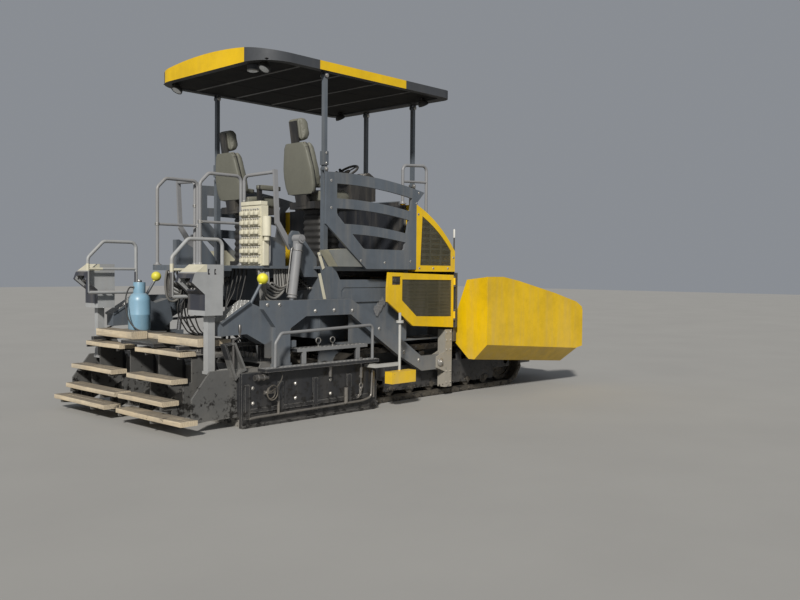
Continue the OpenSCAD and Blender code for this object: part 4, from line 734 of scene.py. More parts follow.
def make_materials():
    """Every finish of the machine, by a maker's name."""
    if MATERIALS:
        return
    sizes = bpy.context.scene.paver_finish
    yellow, grey = tuple(sizes.yellow), tuple(sizes.grey)
    bright = {"gloss": 0.34, "dust": 0.18, "dust_height": 1.1}
    cared = {**bright, "edges": 0.25, "tar": -0.13, "chip": (0.30, 0.25, 0.06)}
    usual = {"gloss": 0.42, "dust": 0.38, "dust_height": 1.3, "edges": 0.45, "tar": -0.12}
    light = {"dust": 0.35, "dust_height": 1.0, "edges": 0.4, "edge_width": 0.004, "tar": -0.12}
    black = (0.045, 0.044, 0.043)
    scoured = (0.085, 0.080, 0.070)
    # Masks of the places that have a colour of their own; some of these colours are painted shade
    hopper = zone("X", STATION_X + 3.476, FAR)
    wing_skin = both(looks_in, hopper, zone("Y", 0.006 - 1.72, 1.714))
    wing_floor = both(LOOKS_UP, hopper, zone("Z", 0.0, 1.05))
    wing_back = both(looks_along, between(3.466, 3.50, 0.001))
    window = both(between(2.36, 3.275), zone("Z", 1.03, 1.50),
                  zone("Y", 0.005 - SKIN_Y, SKIN_Y - 0.005, 0.001))
    # The deck's bulkhead seen through the guard's windows: its rear faces are painted near black as
    # shade
    bulkhead_painted_shade = both(between(2.45, 2.61), zone("Z", 1.66, 2.46), LOOKS_BACK)
    tray = both(zone("Z", 1.60, 1.862), zone("Y", 0.004 - SKIN_Y + 0.028, SKIN_Y - 0.032))
    ball = both(between(0.355, 0.49), zone("Z", 1.456, 1.58))
    ramp = both(zone("X", -FAR, STATION_X + 0.18), zone("Z", 1.06, 1.31), LOOKS_UP)
    rails = both(zone("Z", 0.60, FAR), away("Y", 1.30))
    steps = both(zone("Z", 0.575, 0.80), LOOKS_UP)
    rear_plate = both(zone("X", -FAR, STATION_X - 0.045), zone("Z", 0.03, 0.70))
    link = both(between(-0.13, 0.185), zone("Z", 0.52, 0.87), zone("Y", -1.287, 1.287),
                away("Y", 1.19))
    beam = both(zone("Z", 1.58, 1.66), between(-0.60, -0.385))
    # Rear faces of the control boxes' open rears: painted dark as the shade inside them
    pod_rear_painted_shade = both(zone("Z", 1.20, 1.57), LOOKS_BACK)
    fascia = zone("Z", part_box("canopy_roof")[0].z - 0.01, FAR)
    roof_side = both(away("Y", 1.08), between(1.17, 2.57), fascia)
    roof_end = both(zone("X", -FAR, STATION_X + 0.52), zone("Y", -0.75, 0.86), fascia)
    made = {
        "yellow": paint("Yellow enamel", yellow, **cared),
        "wing": paint("Yellow enamel, scoured inside", yellow, **bright, edges=0.45, tar=-0.11,
                      chip=(0.40, 0.36, 0.24),
                      zones=[(mask, scoured) for mask in (wing_skin, wing_floor, wing_back)]),
        "door": paint("Yellow enamel with dark louvres", yellow, **cared,
                      zones=[(window, (0.040, 0.037, 0.024))]),
        "grey": paint("Blue-grey enamel", grey, **usual),
        # Blue-grey enamel, with painted shade on the bulkhead's rear faces
        "deck": paint("Blue-grey enamel, dark bulkhead", grey, **usual,
                      zones=[(bulkhead_painted_shade, (0.016, 0.018, 0.023))]),
        "guard": paint("Blue-grey enamel with sandy trays", grey, **usual,
                       zones=[(tray, (0.56, 0.54, 0.41))]),
        "arm": paint("Blue-grey enamel with yellow balls", grey, **usual,
                     zones=[(ball, (0.74, 0.68, 0.04)), (ramp, (0.24, 0.25, 0.25))]),
        "dark": paint("Black paint, tarry", black, gloss=0.44, dust=0.20, dust_height=0.5,
                      edges=0.9, edge_width=0.010, tar=0.02, chip=(0.34, 0.33, 0.30),
                      relief=0.45),
        "screed": paint("Screed paint, scuffed", (0.165, 0.163, 0.158), gloss=0.46, dust=0.30,
                        dust_height=0.6, edges=1.0, edge_width=0.012, tar=0.0,
                        chip=(0.46, 0.44, 0.40), relief=0.5),
        "gate": paint("Black gate, tarry", (0.022, 0.023, 0.026), gloss=0.40, dust=0.07,
                      dust_height=0.4, edges=1.0, edge_width=0.012, tar=0.03,
                      chip=(0.34, 0.33, 0.31), relief=0.45, stained=0.08,
                      zones=[(rails, (0.20, 0.205, 0.21)), (steps, (0.23, 0.235, 0.24)),
                             (rear_plate, (0.105, 0.105, 0.102)), (link, (0.13, 0.13, 0.127))]),
        "tube": paint("Light grey tube enamel", (0.235, 0.24, 0.25), gloss=0.38, **light),
        # Light grey box paint; the rear faces get painted shade, the beam is cream paint
        "pod": paint("Light grey box enamel", (0.33, 0.34, 0.345), gloss=0.40, **light,
                     zones=[(pod_rear_painted_shade, (0.035, 0.038, 0.050)), (beam, (0.60, 0.57, 0.44))]),
        "roof": paint("Roof enamel", (0.045, 0.05, 0.058), gloss=0.58, dust=0.25, edges=0.3,
                      tar=-0.3, stained=0.04,
                      zones=[(roof_side, yellow), (roof_end, yellow),
                             # Faces that look down are painted near black as shade under the roof
                             (LOOKS_DOWN, (0.0012, 0.0015, 0.0024))]),
        "cream": paint("Cream enamel", (0.62, 0.59, 0.46), gloss=0.45, dust=0.35, edges=0.35,
                       tar=-0.11, zones=[(between(0.575, 0.9), grey)]),
        "bottle": paint("Light blue enamel", (0.19, 0.345, 0.46), gloss=0.36, dust=0.3,
                        edges=0.4, tar=-0.09),
        "white": paint("Off-white enamel", (0.58, 0.58, 0.55), gloss=0.4, dust=0.4, edges=0.4),
        "mesh": paint("Olive perforated sheet", (0.055, 0.052, 0.030), gloss=0.5, dust=0.45,
                      dust_height=1.5, edges=0.2, edge_width=0.002, tar=-0.3),
        "shell": paint("Black plastic", (0.020, 0.020, 0.021), gloss=0.5, dust=0.4, edges=0.2,
                       tar=-0.3, chip=(0.08, 0.08, 0.08)),
        "worn": bare_metal("Worn steel with tar", (0.20, 0.185, 0.165), 0.5, 0.5, 0.0, 0.5),
        # Track steel: dark worn steel, darkened further as painted shade under the machine
        "track": bare_metal("Track steel", (0.055, 0.051, 0.047), 0.55, 0.30, 0.0, 0.6),
        "chrome": bare_metal("Hard chrome", (0.70, 0.70, 0.71), 0.18, 0.15, -0.4, 0.03),
        "zinc": bare_metal("Zinc plated bolts", (0.45, 0.44, 0.42), 0.42, 0.35, -0.1, 0.2),
        "plate": paint("Checker plate", grey, gloss=0.36, dust=0.45, dust_height=1.3,
                       edges=1.0, edge_width=0.003, tar=-0.08, chip=(0.42, 0.42, 0.41)),
        "slide": paint("Scoured slide plates", (0.30, 0.285, 0.25), gloss=0.42, dust=0.35,
                       dust_height=1.0, edges=0.9, edge_width=0.008, tar=-0.04,
                       chip=(0.50, 0.48, 0.44)),
        # Track frames: dark paint, darkened further as painted shade under the hopper
        "frame": paint("Track frame paint, oily", (0.030, 0.031, 0.034), gloss=0.40, dust=0.10,
                       dust_height=0.5, edges=0.7, edge_width=0.008, tar=0.03,
                       chip=(0.32, 0.31, 0.29), relief=0.4, stained=0.08),
        "sensor": paint("Yellow foot, steel spindle", yellow, gloss=0.36, dust=0.30,
                        dust_height=0.8, edges=0.6, tar=-0.08,
                        zones=[(zone("Z", 0.452, FAR), (0.42, 0.42, 0.40))]),
        "link": bare_metal("Polished links", (0.26, 0.25, 0.24), 0.36, 0.30, -0.05, 0.3),
        "wood": plank_wood("Weathered planks"),
        "vinyl": vinyl("Olive grey vinyl", tuple(sizes.seat)),
        "rubber": rubber("Black rubber"),
        # Roof lining: black panels, darkened to near black and matt as painted shade under the roof
        "lining": rubber("Black lining panels", (0.0012, 0.0014, 0.0022), 0.8, 0.1),
        # Deck hoses: black rubber painted light grey as sun sheen, with dust on top
        "hose": paint("Dusty hose sheath", (0.16, 0.16, 0.155), gloss=0.5, dust=0.5,
                      dust_height=2.0, edges=0.3, edge_width=0.003, tar=-0.1),
        "glass": lamp_glass("Lamp lens", (0.75, 0.77, 0.78)),
    }
    MATERIALS.update(made)


CAD_FINISHES = {
    "main_frame": "grey", "tracks_right": "track", "tracks_left": "track",
    "running_gear": "track", "track_frames": "frame", "hopper_body": "dark",
    "conveyors": "worn", "engine": "dark", "engine_hood": "yellow", "hood_grilles": "mesh",
    "platform": "deck", "guards": "guard", "handrails": "tube", "seat_frames": "shell",
    "service_boxes": "cream", "auger_mount": "grey", "tow_columns": "slide",
    "push_bar": "worn", "tow_arms": "arm", "screed_frame": "screed", "screed_soles": "worn",
    "walkway": "gate", "gas_bottle": "bottle", "canopy_roof": "roof", "rear_posts": "grey",
    "front_posts": "grey", "lift_barrels": "tube", "lift_rods": "chrome", "console": "shell",
    "side_door": "door", "wing": "wing", "wing_barrel": "white", "wing_rod": "chrome",
    "push_roller": "worn", "auger": "worn", "extension": "screed", "end_gate": "gate",
    "step_boards": "gate", "control_pod": "pod", "grade_sensor": "sensor", "hoses": "rubber",
}


class PAVER_PG_finish(bpy.types.PropertyGroup):
    """Colours that a user would change."""

    yellow: bpy.props.FloatVectorProperty(
        name="Yellow", description="Enamel of the hood, doors, wings and roof edge",
        subtype="COLOR", size=3, min=0.0, max=1.0, default=(0.74, 0.47, 0.002))
    grey: bpy.props.FloatVectorProperty(
        name="Grey", description="Blue-grey enamel of the chassis and the deck",
        subtype="COLOR", size=3, min=0.0, max=1.0, default=(0.098, 0.116, 0.138))
    seat: bpy.props.FloatVectorProperty(
        name="Seat", description="Vinyl of the seats",
        subtype="COLOR", size=3, min=0.0, max=1.0, default=(0.145, 0.145, 0.118))


class PAVER_PG_stage(bpy.types.PropertyGroup):
    """Camera and light."""

    lens: bpy.props.FloatProperty(
        name="Focal length", description="Focal length of the camera in millimetres",
        subtype="DISTANCE_CAMERA", default=39.06, min=10.0)
    heading: bpy.props.FloatProperty(
        name="Heading", description="Where the camera looks, turned from forward to the left",
        subtype="ANGLE", default=math.radians(43.4))
    sun_strength: bpy.props.FloatProperty(
        name="Sun strength", description="Strength of the large key light", default=4.3, min=0.0)
    sky_strength: bpy.props.FloatProperty(
        name="Sky strength", description="Strength of the even light from all round",
        default=0.30, min=0.0)


class PAVER_OT_finish(bpy.types.Operator):
    """Makes the finishes and puts them on the CAD nodes"""

    bl_idname = "paver.finish"
    bl_label = "Finishes"

    def execute(self, context):
        make_materials()
        for name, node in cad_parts.items():
            kind = name.replace("_right", "").replace("_left", "")
            finish = CAD_FINISHES.get(name) or CAD_FINISHES.get(kind)
            if finish is None:
                continue
            for place in node.material_slots:
                place.material = MATERIALS[finish]
        return {"FINISHED"}


class PAVER_PG_details(bpy.types.PropertyGroup):
    """Sizes of the fine pieces that a user would change."""

    hole_pitch: bpy.props.FloatProperty(
        name="Hole pitch", description="Distance between the holes of the perforated sheets",
        unit="LENGTH", default=0.0165, min=0.012, max=0.04)
    bolt_radius: bpy.props.FloatProperty(
        name="Bolt radius", description="Half the width across corners of a usual bolt's head",
        unit="LENGTH", default=0.012, min=0.006, max=0.02)
    plank_wear: bpy.props.FloatProperty(
        name="Plank wear", description="How far the planks' edges are worn and bowed",
        unit="LENGTH", default=0.004, min=0.0, max=0.008)
    hose_radius: bpy.props.FloatProperty(
        name="Hose radius", description="Radius of the thin hoses and cables",
        unit="LENGTH", default=0.008, min=0.004, max=0.014)


def pair(name, shape, finish, body, **options):
    """One piece on each side: the left as drawn, the right mirrored. A body's name may hold
    {side}."""
    for side, sign in SIDES:
        its_body = body.format(side=side) if isinstance(body, str) else body
        its_shape = shape if sign > 0 else mirrored(shape)
        piece(f"{name}_{side}", its_shape, finish, its_body, **options)


def loop(width, height, power, samples):
    """A superellipse: cosine and sine raised to two over the power, times half the width and
    height."""
    angle = angles(samples)
    wave = np.stack([np.cos(angle), np.sin(angle)], -1)
    return np.sign(wave) * np.abs(wave) ** (2.0 / power) * np.array([width / 2, height / 2])


def puffed(outline, half, rounding, rows=15):
    """A closed outline carried from minus half to half along a third axis. Near both ends it
    shrinks towards its middle by a quarter circle of the rounding."""
    outline = np.array(outline, dtype=float)
    middle = (outline.max(0) + outline.min(0)) / 2
    reach = (outline.max(0) - outline.min(0)).min() / 2
    s = np.sin(np.linspace(-np.pi / 2, np.pi / 2, rows))
    edge = np.clip((np.abs(s) * half - (half - rounding)) / rounding, 0.0, 1.0)
    inset = rounding * (1.0 - np.sqrt(1.0 - 0.97 * edge ** 2))
    scale = (1.0 - inset / reach)[:, None, None]
    plane = middle + (outline - middle)[None] * scale
    third = np.broadcast_to((s * half)[:, None, None], (rows, len(outline), 1))
    return surface(np.concatenate([plane, third], -1), around=True, ends=True)


def even(outline, samples=72):
    """The same closed outline with its points at even steps of length."""
    ring = np.vstack([outline, outline[:1]]).astype(float)
    return points_at(ring, np.linspace(0.0, lengths(ring)[-1], samples, endpoint=False))


def tilted(shape, degrees, pivot, y):
    """A shape drawn in x, z and across, leaned back about a pivot of station and height."""
    a = math.radians(degrees)
    x, z, across = shape.points.T
    points = np.stack([x * math.cos(a) - z * math.sin(a) + pivot[0] + STATION_X, across + y,
                       x * math.sin(a) + z * math.cos(a) + pivot[1]], -1)
    return shape._replace(points=points)


class PAVER_OT_grilles(bpy.types.Operator):
    """Makes the perforated sheets of the hood and the doors, and the door latches"""

    bl_idname = "paver.grilles"
    bl_label = "Grilles"

    def execute(self, context):
        pitch = context.scene.paver_details.hole_pitch
        low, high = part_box("hood_grilles")
        rear, front = low.x - STATION_X, high.x - STATION_X
        base = low.z
        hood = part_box("engine_hood")
        # The arch leaves the straight line between the hood's corners by 4 h t (1 - t)
        t = np.linspace(0.08, 0.97, 10)
        line = np.stack([3.34 - 0.74 * t, 1.86 + 0.56 * t], -1)
        normal = np.array([0.56, 0.74]) / math.hypot(0.56, 0.74)
        arch = line + normal * (4 * 0.06 * t * (1 - t) - 0.075)[:, None]
        outline = np.vstack([[[rear, base], [front, base]], arch])
        outline[:, 0] = np.clip(outline[:, 0], rear, front)
        sheet = honeycomb(outline, pitch, pitch * 0.37, hood[1].y - 0.006, hood[1].y - 0.0085)
        pair("hood_mesh", sheet, "mesh", "root", recalculate=False)
        window = [(2.355, 1.25), (2.615, 1.05), (3.278, 1.025), (3.278, 1.493), (2.355, 1.503)]
        sheet = honeycomb(window, pitch, pitch * 0.37, hood[1].y - 0.006, hood[1].y - 0.0085)
        pair("door_mesh", sheet, "mesh", "side_door_{side}", recalculate=False)
        patch = [(2.000, 1.160), (2.150, 1.290), (2.210, 1.230), (2.060, 1.060)]
        sheet = honeycomb(patch, 0.020, 0.0068, 1.1412, 1.1390)
        pair("side_mesh", sheet, "tube", "root", recalculate=False)
        y = hood[1].y
        lock = copies(disc(0.024, 0.008, 0.018, 0.012, 20), [at(2.215, y - 0.0095, 1.488)], OUTWARD)
        latch = join(block((2.182, y - 0.012, 1.440), (2.326, y - 0.009, 1.536)), lock,
                     block((2.236, y - 0.010, 1.466), (2.314, y + 0.001, 1.512)))
        pair("door_latch", latch, "shell", "side_door_{side}", bevel=0.003)
        return {"FINISHED"}


PLANK_ROWS = 25


def plank(low, high, seed, wear):
    """A board along y: a rounded rectangle carried along it, whose middle bows by a parabola and
    whose edge wanders by three sine waves of the seed."""
    low, high = np.array(low), np.array(high)
    size = high - low
    ring = loop(size[0] + 0.006, size[2] + 0.005, 14.0, 24)
    t = np.linspace(0.0, 1.0, PLANK_ROWS)
    wander = sum(np.sin(2 * np.pi * t * k + seed * (1.7 + k)) for k in (1.0, 2.3, 4.1)) / 3.0
    bow = wear * (4 * t * (1 - t) - 0.5) * math.sin(seed * 5.1)
    middle = (low + high) / 2
    x = middle[0] + STATION_X + ring[None, :, 0] * (1 + 0.012 * wander)[:, None]
    z = middle[2] + ring[None, :, 1] + (bow * 0.6)[:, None]
    y = np.broadcast_to((low[1] - 0.003 + (size[1] + 0.006) * t)[:, None], x.shape)
    return surface(np.stack([x, y, z], -1), around=True, ends=True)


class PAVER_OT_planks(bpy.types.Operator):
    """Makes the worn planks of the walkway and the treads"""

    bl_idname = "paver.planks"
    bl_label = "Planks"

    def execute(self, context):
        wear = context.scene.paver_details.plank_wear
        beam_z = 0.830
        beams = []
        for i, (inner, outer) in enumerate(((-1.06, -0.34), (0.215, 1.0))):
            beams.append(plank((-0.39, inner, beam_z + 0.002), (-0.20, outer, beam_z + 0.080),
                               1.3 + i, wear))
        beams.append(plank((-0.18, -1.06, beam_z + 0.002), (0.01, 1.0, beam_z + 0.060), 2.9, wear))
        piece("walkway_planks", join(*beams), "wood", "screed")
        # Each row: station of the rear edge, height of the top, inner end, outer end
        rows = {"right": ((-0.49, 0.77, 0.04, 0.90), (-0.59, 0.50, 0.04, 0.90),
                          (-0.69, 0.29, 0.04, 0.90), (-0.80, 0.165, 0.20, 1.40)),
                "left": ((-0.49, 0.77, 0.30, 1.05), (-0.59, 0.50, 0.30, 1.21),
                         (-0.69, 0.29, 0.04, 1.14), (-0.80, 0.165, 0.06, 1.20))}
        for side, sign in SIDES:
            treads = []
            for i, (x, top, inner, outer) in enumerate(rows[side]):
                for j in (0, 1):
                    start = x + j * 0.097
                    treads.append(plank((start + 0.002, inner, top - 0.045),
                                        (start + 0.091, outer, top), sign + 1.9 * i + j, wear))
            shape = join(*treads)
            shape = shape if sign > 0 else mirrored(shape)
            piece(f"tread_planks_{side}", shape, "wood", f"extension_{side}")
        return {"FINISHED"}


def points_of(mesh):
    """A mesh's points as rows of three numbers."""
    points = np.empty(len(mesh.vertices) * 3, dtype=np.float32)
    mesh.vertices.foreach_get("co", points)
    return points.reshape(-1, 3)


def move_points(mesh, points):
    """Puts a mesh's points at new places."""
    mesh.vertices.foreach_set("co", points.ravel())
    mesh.update()


def apply_modifiers(obj):
    """Gives an object the mesh that its modifiers make, and removes them."""
    graph = bpy.context.evaluated_depsgraph_get()
    obj.data = bpy.data.meshes.new_from_object(obj.evaluated_get(graph))
    obj.modifiers.clear()


PAD_PRESSURE = 4.0
PAD_FRAMES = 20
PAD_VOXEL = 0.008
SEAM_DEPTH, SEAM_WIDTH = 0.006, 0.007


def swell(obj, limit):
    """Cloth under a little pressure, with no gravity, for some frames. No point moves further than
    the limit from where it began."""
    before = points_of(obj.data)
    cloth = obj.modifiers.new("Cloth", "CLOTH")
    cloth.settings.use_pressure = True
    cloth.settings.uniform_pressure_force = PAD_PRESSURE
    cloth.settings.effector_weights.gravity = 0.0
    cloth.point_cache.frame_start = 1
    cloth.point_cache.frame_end = PAD_FRAMES
    for step in range(1, PAD_FRAMES + 1):
        bpy.context.scene.frame_set(step)
    move = points_of(obj.evaluated_get(bpy.context.evaluated_depsgraph_get()).to_mesh()) - before
    obj.modifiers.remove(cloth)
    far = np.linalg.norm(move, axis=1, keepdims=True)
    move *= np.minimum(1.0, limit / np.maximum(far, 1e-9))
    move_points(obj.data, before + move)
    bpy.context.scene.frame_set(1)


def sewn(mesh, channels):
    """Sewn channels: each point sinks along its normal by the depth times a bell of its distance
    from the channel's line. A channel is a function of the points that gives that distance."""
    points = points_of(mesh)
    normals = np.empty(points.size, dtype=np.float32)
    mesh.vertex_normals.foreach_get("vector", normals)
    sink = np.zeros(len(points))
    for distance in channels:
        sink = np.maximum(sink, np.exp(-(distance(points) / SEAM_WIDTH) ** 2))
    move_points(mesh, points - normals.reshape(-1, 3) * (sink * SEAM_DEPTH)[:, None])


def lengthwise(half):
    """The distance from two channels that run this far to either side of the middle."""
    return lambda p: np.abs(np.abs(p[:, 1]) - half)


def crosswise(half, axis, place):
    """The distance from a channel that crosses the middle at a place on an axis."""
    return lambda p: np.where(np.abs(p[:, 1]) < half, np.abs(p[:, axis] - place), 1.0)


def pad(name, shape, limit, channels, y_places):
    """One stuffed pad, simulated once and copied to each seat."""
    obj = placed(name, mesh_of(name, shape))
    remesh = obj.modifiers.new("Remesh", "REMESH")
    remesh.mode = "VOXEL"
    remesh.voxel_size = PAD_VOXEL
    apply_modifiers(obj)
    swell(obj, limit)
    fine = obj.modifiers.new("Subdivision", "SUBSURF")
    fine.levels = fine.render_levels = 1
    apply_modifiers(obj)
    smooth = obj.data
    sewn(smooth, channels)
    smooth.polygons.foreach_set("use_smooth", np.ones(len(smooth.polygons), dtype=bool))
    smooth.materials.clear()
    smooth.materials.append(MATERIALS["vinyl"])
    for side, y in y_places:
        copy = smooth.copy()
        move_points(copy, points_of(smooth) + np.array([0.0, y, 0.0], dtype=np.float32))
        soft = placed(f"{name}_{side}", copy)
        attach(soft, "root")
        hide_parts("seat_pads")
    bpy.data.objects.remove(obj)


class PAVER_OT_seats(bpy.types.Operator):
    """Makes the seats: stuffed pads, shells, bellows and arm pads"""

    bl_idname = "paver.seats"
    bl_label = "Seats"

    def execute(self, context):
        seats = (("right", -0.740), ("left", 0.620))
        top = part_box("seat_pads")[0].z + 0.160
        pivot = (1.270, top - 0.200)
        back_l = 0.530
        lean = 9.0
        seat = even([(1.318, top - 0.150), (1.790, top - 0.150), (1.808, top - 0.085),
                     (1.795, top - 0.030), (1.735, top - 0.008), (1.600, top - 0.022),
                     (1.318, top - 0.045)])
        seat_shape = laid(puffed(seat, 0.228, 0.035), at(0, 0, 0))
        channels = [lengthwise(0.150)] + [crosswise(0.15, 0, x + STATION_X) for x in (1.52, 1.66)]
        pad("seat_cushion", seat_shape, 0.012, channels, seats)
        back = even([(0.008, 0.200), (0.095, 0.200), (0.112, 0.240), (0.106, 0.400),
                     (0.066, back_l + 0.145), (0.036, back_l + 0.182), (0.008, back_l + 0.182)])
        shape = tilted(puffed(back, 0.226, 0.040), lean, pivot, 0.0)
        channels = [lengthwise(0.145)] + [crosswise(0.145, 2, pivot[1] + z) for z in (0.42, 0.54)]
        pad("seat_back", shape, 0.012, channels, seats)
        head = even(np.array([(-0.012, 0.212), (0.064, 0.212), (0.102, 0.262), (0.092, 0.415),
                              (0.054, 0.455), (-0.012, 0.455)]) + (0.0, back_l))
        shape = tilted(puffed(head, 0.132, 0.045), lean, pivot, 0.0)
        pad("head_cushion", shape, 0.010, [lengthwise(0.085)], seats)
        # Shell behind the back: its half width follows a short table of height and half width
        table = np.array([(0.135, 0.205), (0.160, 0.228), (0.225, 0.247), (0.34, 0.250),
                          (0.43, 0.243), (0.57, 0.212), (0.670, 0.188), (0.716, 0.150)])
        z = np.linspace(table[0, 0], table[-1, 0], 30)
        width = np.interp(z, table[:, 0], table[:, 1])
        swell_out = 0.058 + 0.012 * np.sin(np.pi * (z - z[0]) / (z[-1] - z[0]))
        ring = loop(2.0, 2.0, 5.0, 40)
        x = -swell_out[:, None] * (0.5 - 0.5 * ring[None, :, 0])
        rows = np.stack([x, np.broadcast_to(z[:, None], x.shape), width[:, None] * ring[None, :, 1]],
                        -1)
        shell = surface(rows, around=True, ends=True)
        # Bellows: a rounded square whose size goes in and out eight times
        rise = np.linspace(0.0, 1.0, 49)
        fold = 0.155 + 0.014 * np.abs(((rise * 8.0) % 1.0) * 2.0 - 1.0)
        square = loop(2.0, 2.0, 6.0, 32)
        level = DECK_Z + 0.062 + (top - DECK_Z - 0.310) * rise
        folds = np.concatenate([fold[:, None, None] * square[None] + (1.525, 0.0),
                                np.broadcast_to(level[:, None, None], (49, 32, 1))], -1)
        arm = even(loop(0.352, 0.064, 6.0, 40), 48)
        for side, y in seats:
            piece(f"seat_shell_{side}", tilted(shell, lean, pivot, y), "vinyl", "root", angle=60.0)
            bellows = surface(folds + at(0, y, 0), around=True, ends=True)
            piece(f"seat_bellows_{side}", bellows, "rubber", "root", "seat_shell", angle=60.0)
            pads = laid(puffed(arm + (1.590, top + 0.086), 0.034, 0.014, 9), at(0, 0, 0))
            piece(f"arm_pads_{side}", copies(pads, [(0, y - 0.275, 0), (0, y + 0.275, 0)]),
                  "vinyl", "root", angle=60.0)
        return {"FINISHED"}


def bolts(places, radius, height=0.009):
    """Hexagon bolts at places given by station, with their heads to the outside."""
    return copies(hex_bolt(radius, height), [at(*place) for place in places], OUTWARD)


class PAVER_OT_fasteners(bpy.types.Operator):
    """Makes the bolts of the plates, arms, columns and gates"""

    bl_idname = "paver.fasteners"
    bl_label = "Fasteners"

    def execute(self, context):
        r = context.scene.paver_details.bolt_radius
        y = SKIN_Y
        guard = [(1.20, y, 2.60), (1.20, y, 2.30), (2.60, y, 2.43), (2.64, y, 2.56),
                 (1.66, y, 1.72), (2.05, y, 1.70), (2.50, y, 1.72)]
        hood = [(x, y, 1.640) for x in (2.66, 2.92, 3.20)] + [(2.635, y, 2.30), (3.31, y, 1.78)]
        pair("guard_bolts", bolts(guard + hood, r, 0.007), "zinc", "root")
        gate_y = 1.320
        gate = [(x, gate_y, z) for x in (0.10, 0.66, 1.16, 1.62) for z in (0.245, 0.400)]
        pair("gate_bolts", bolts(gate, r * 1.2, 0.012), "zinc", "extension_{side}")
        arm = [(x, ARM_Y, z) for x, z in ((0.36, 1.24), (0.52, 1.24), (1.02, 1.16), (1.30, 1.16),
                                          (1.58, 1.15), (2.02, 0.92), (2.45, 0.62), (2.72, 0.50))]
        pair("arm_bolts", bolts(arm, r * 1.3, 0.012), "zinc", "screed")
        column = [(x, 1.244, z) for x in (3.225, 3.305) for z in (0.18, 0.32, 0.60, 0.72, 0.82)]
        pair("column_bolts", bolts(column, r, 0.010), "slide", "root")
        pin = copies(disc(0.052, 0.014, 0.040, 0.022, 28), [at(3.10, 1.2445, 0.45)], OUTWARD)
        ring = copies(hex_bolt(0.024, 0.02), [at(3.10, 1.266, 0.45)], OUTWARD)
        pair("tow_pin_caps", join(pin, ring), "zinc", "root", bevel=0.001)
        return {"FINISHED"}


class PAVER_OT_bottle(bpy.types.Operator):
    """Makes the gas bottle with its welded collar, valve and seams"""

    bl_idname = "paver.bottle"
    bl_label = "Gas bottle"

    def execute(self, context):
        low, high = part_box("gas_bottle")
        centre = np.array([(low.x + high.x) / 2, (low.y + high.y) / 2, low.z])
        body = lathe([(0.0, 0.0), (0.100, 0.0), (0.117, 0.007), (0.125, 0.026), (0.125, 0.180),
                      (0.1265, 0.184), (0.1265, 0.192), (0.125, 0.196), (0.125, 0.342),
                      (0.121, 0.368), (0.108, 0.400), (0.084, 0.426), (0.054, 0.442),
                      (0.036, 0.447), (0.030, 0.466), (0.0, 0.466)], 64)
        collar = lathe([(0.066, 0.432), (0.069, 0.432), (0.069, 0.552), (0.066, 0.560),
                        (0.060, 0.560), (0.062, 0.552), (0.062, 0.432)], 40)
        collar = surface(collar.points.reshape(7, 40, 3)[:, 3:37], closed=True)
        valve = lathe([(0.0, 0.460), (0.017, 0.460), (0.017, 0.520), (0.011, 0.524), (0.011, 0.556),
                       (0.026, 0.558), (0.030, 0.568), (0.026, 0.584), (0.0, 0.586)], 16)
        side = copies(lathe([(0.012, 0.0), (0.012, 0.055), (0.016, 0.056), (0.016, 0.078),
                             (0.0, 0.078)], 12), [(0, 0, 0.500)], REARWARD)
        shape = copies(join(body, collar), [centre])
        bottle = piece("gas_bottle_body", shape, "bottle", "screed")
        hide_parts("gas_bottle")
        fitting = piece("gas_valve", copies(join(valve, side), [centre]), "zinc", "screed")
        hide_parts("gas_bottle")
        path = smooth_path(centre + np.array([
            [-0.076, 0.0, 0.500], [-0.13, 0.002, 0.49], [-0.19, -0.03, 0.36], [-0.21, -0.12, 0.16],
            [-0.17, -0.24, 0.036], [-0.06, -0.36, 0.012], [0.05, -0.50, 0.012]]))
        piece("gas_hose", tube(path, 0.008, 10, up=(0.3, 0.2, 0.9)), "rubber",
              "screed", "seat_shell")
        return {"FINISHED"}


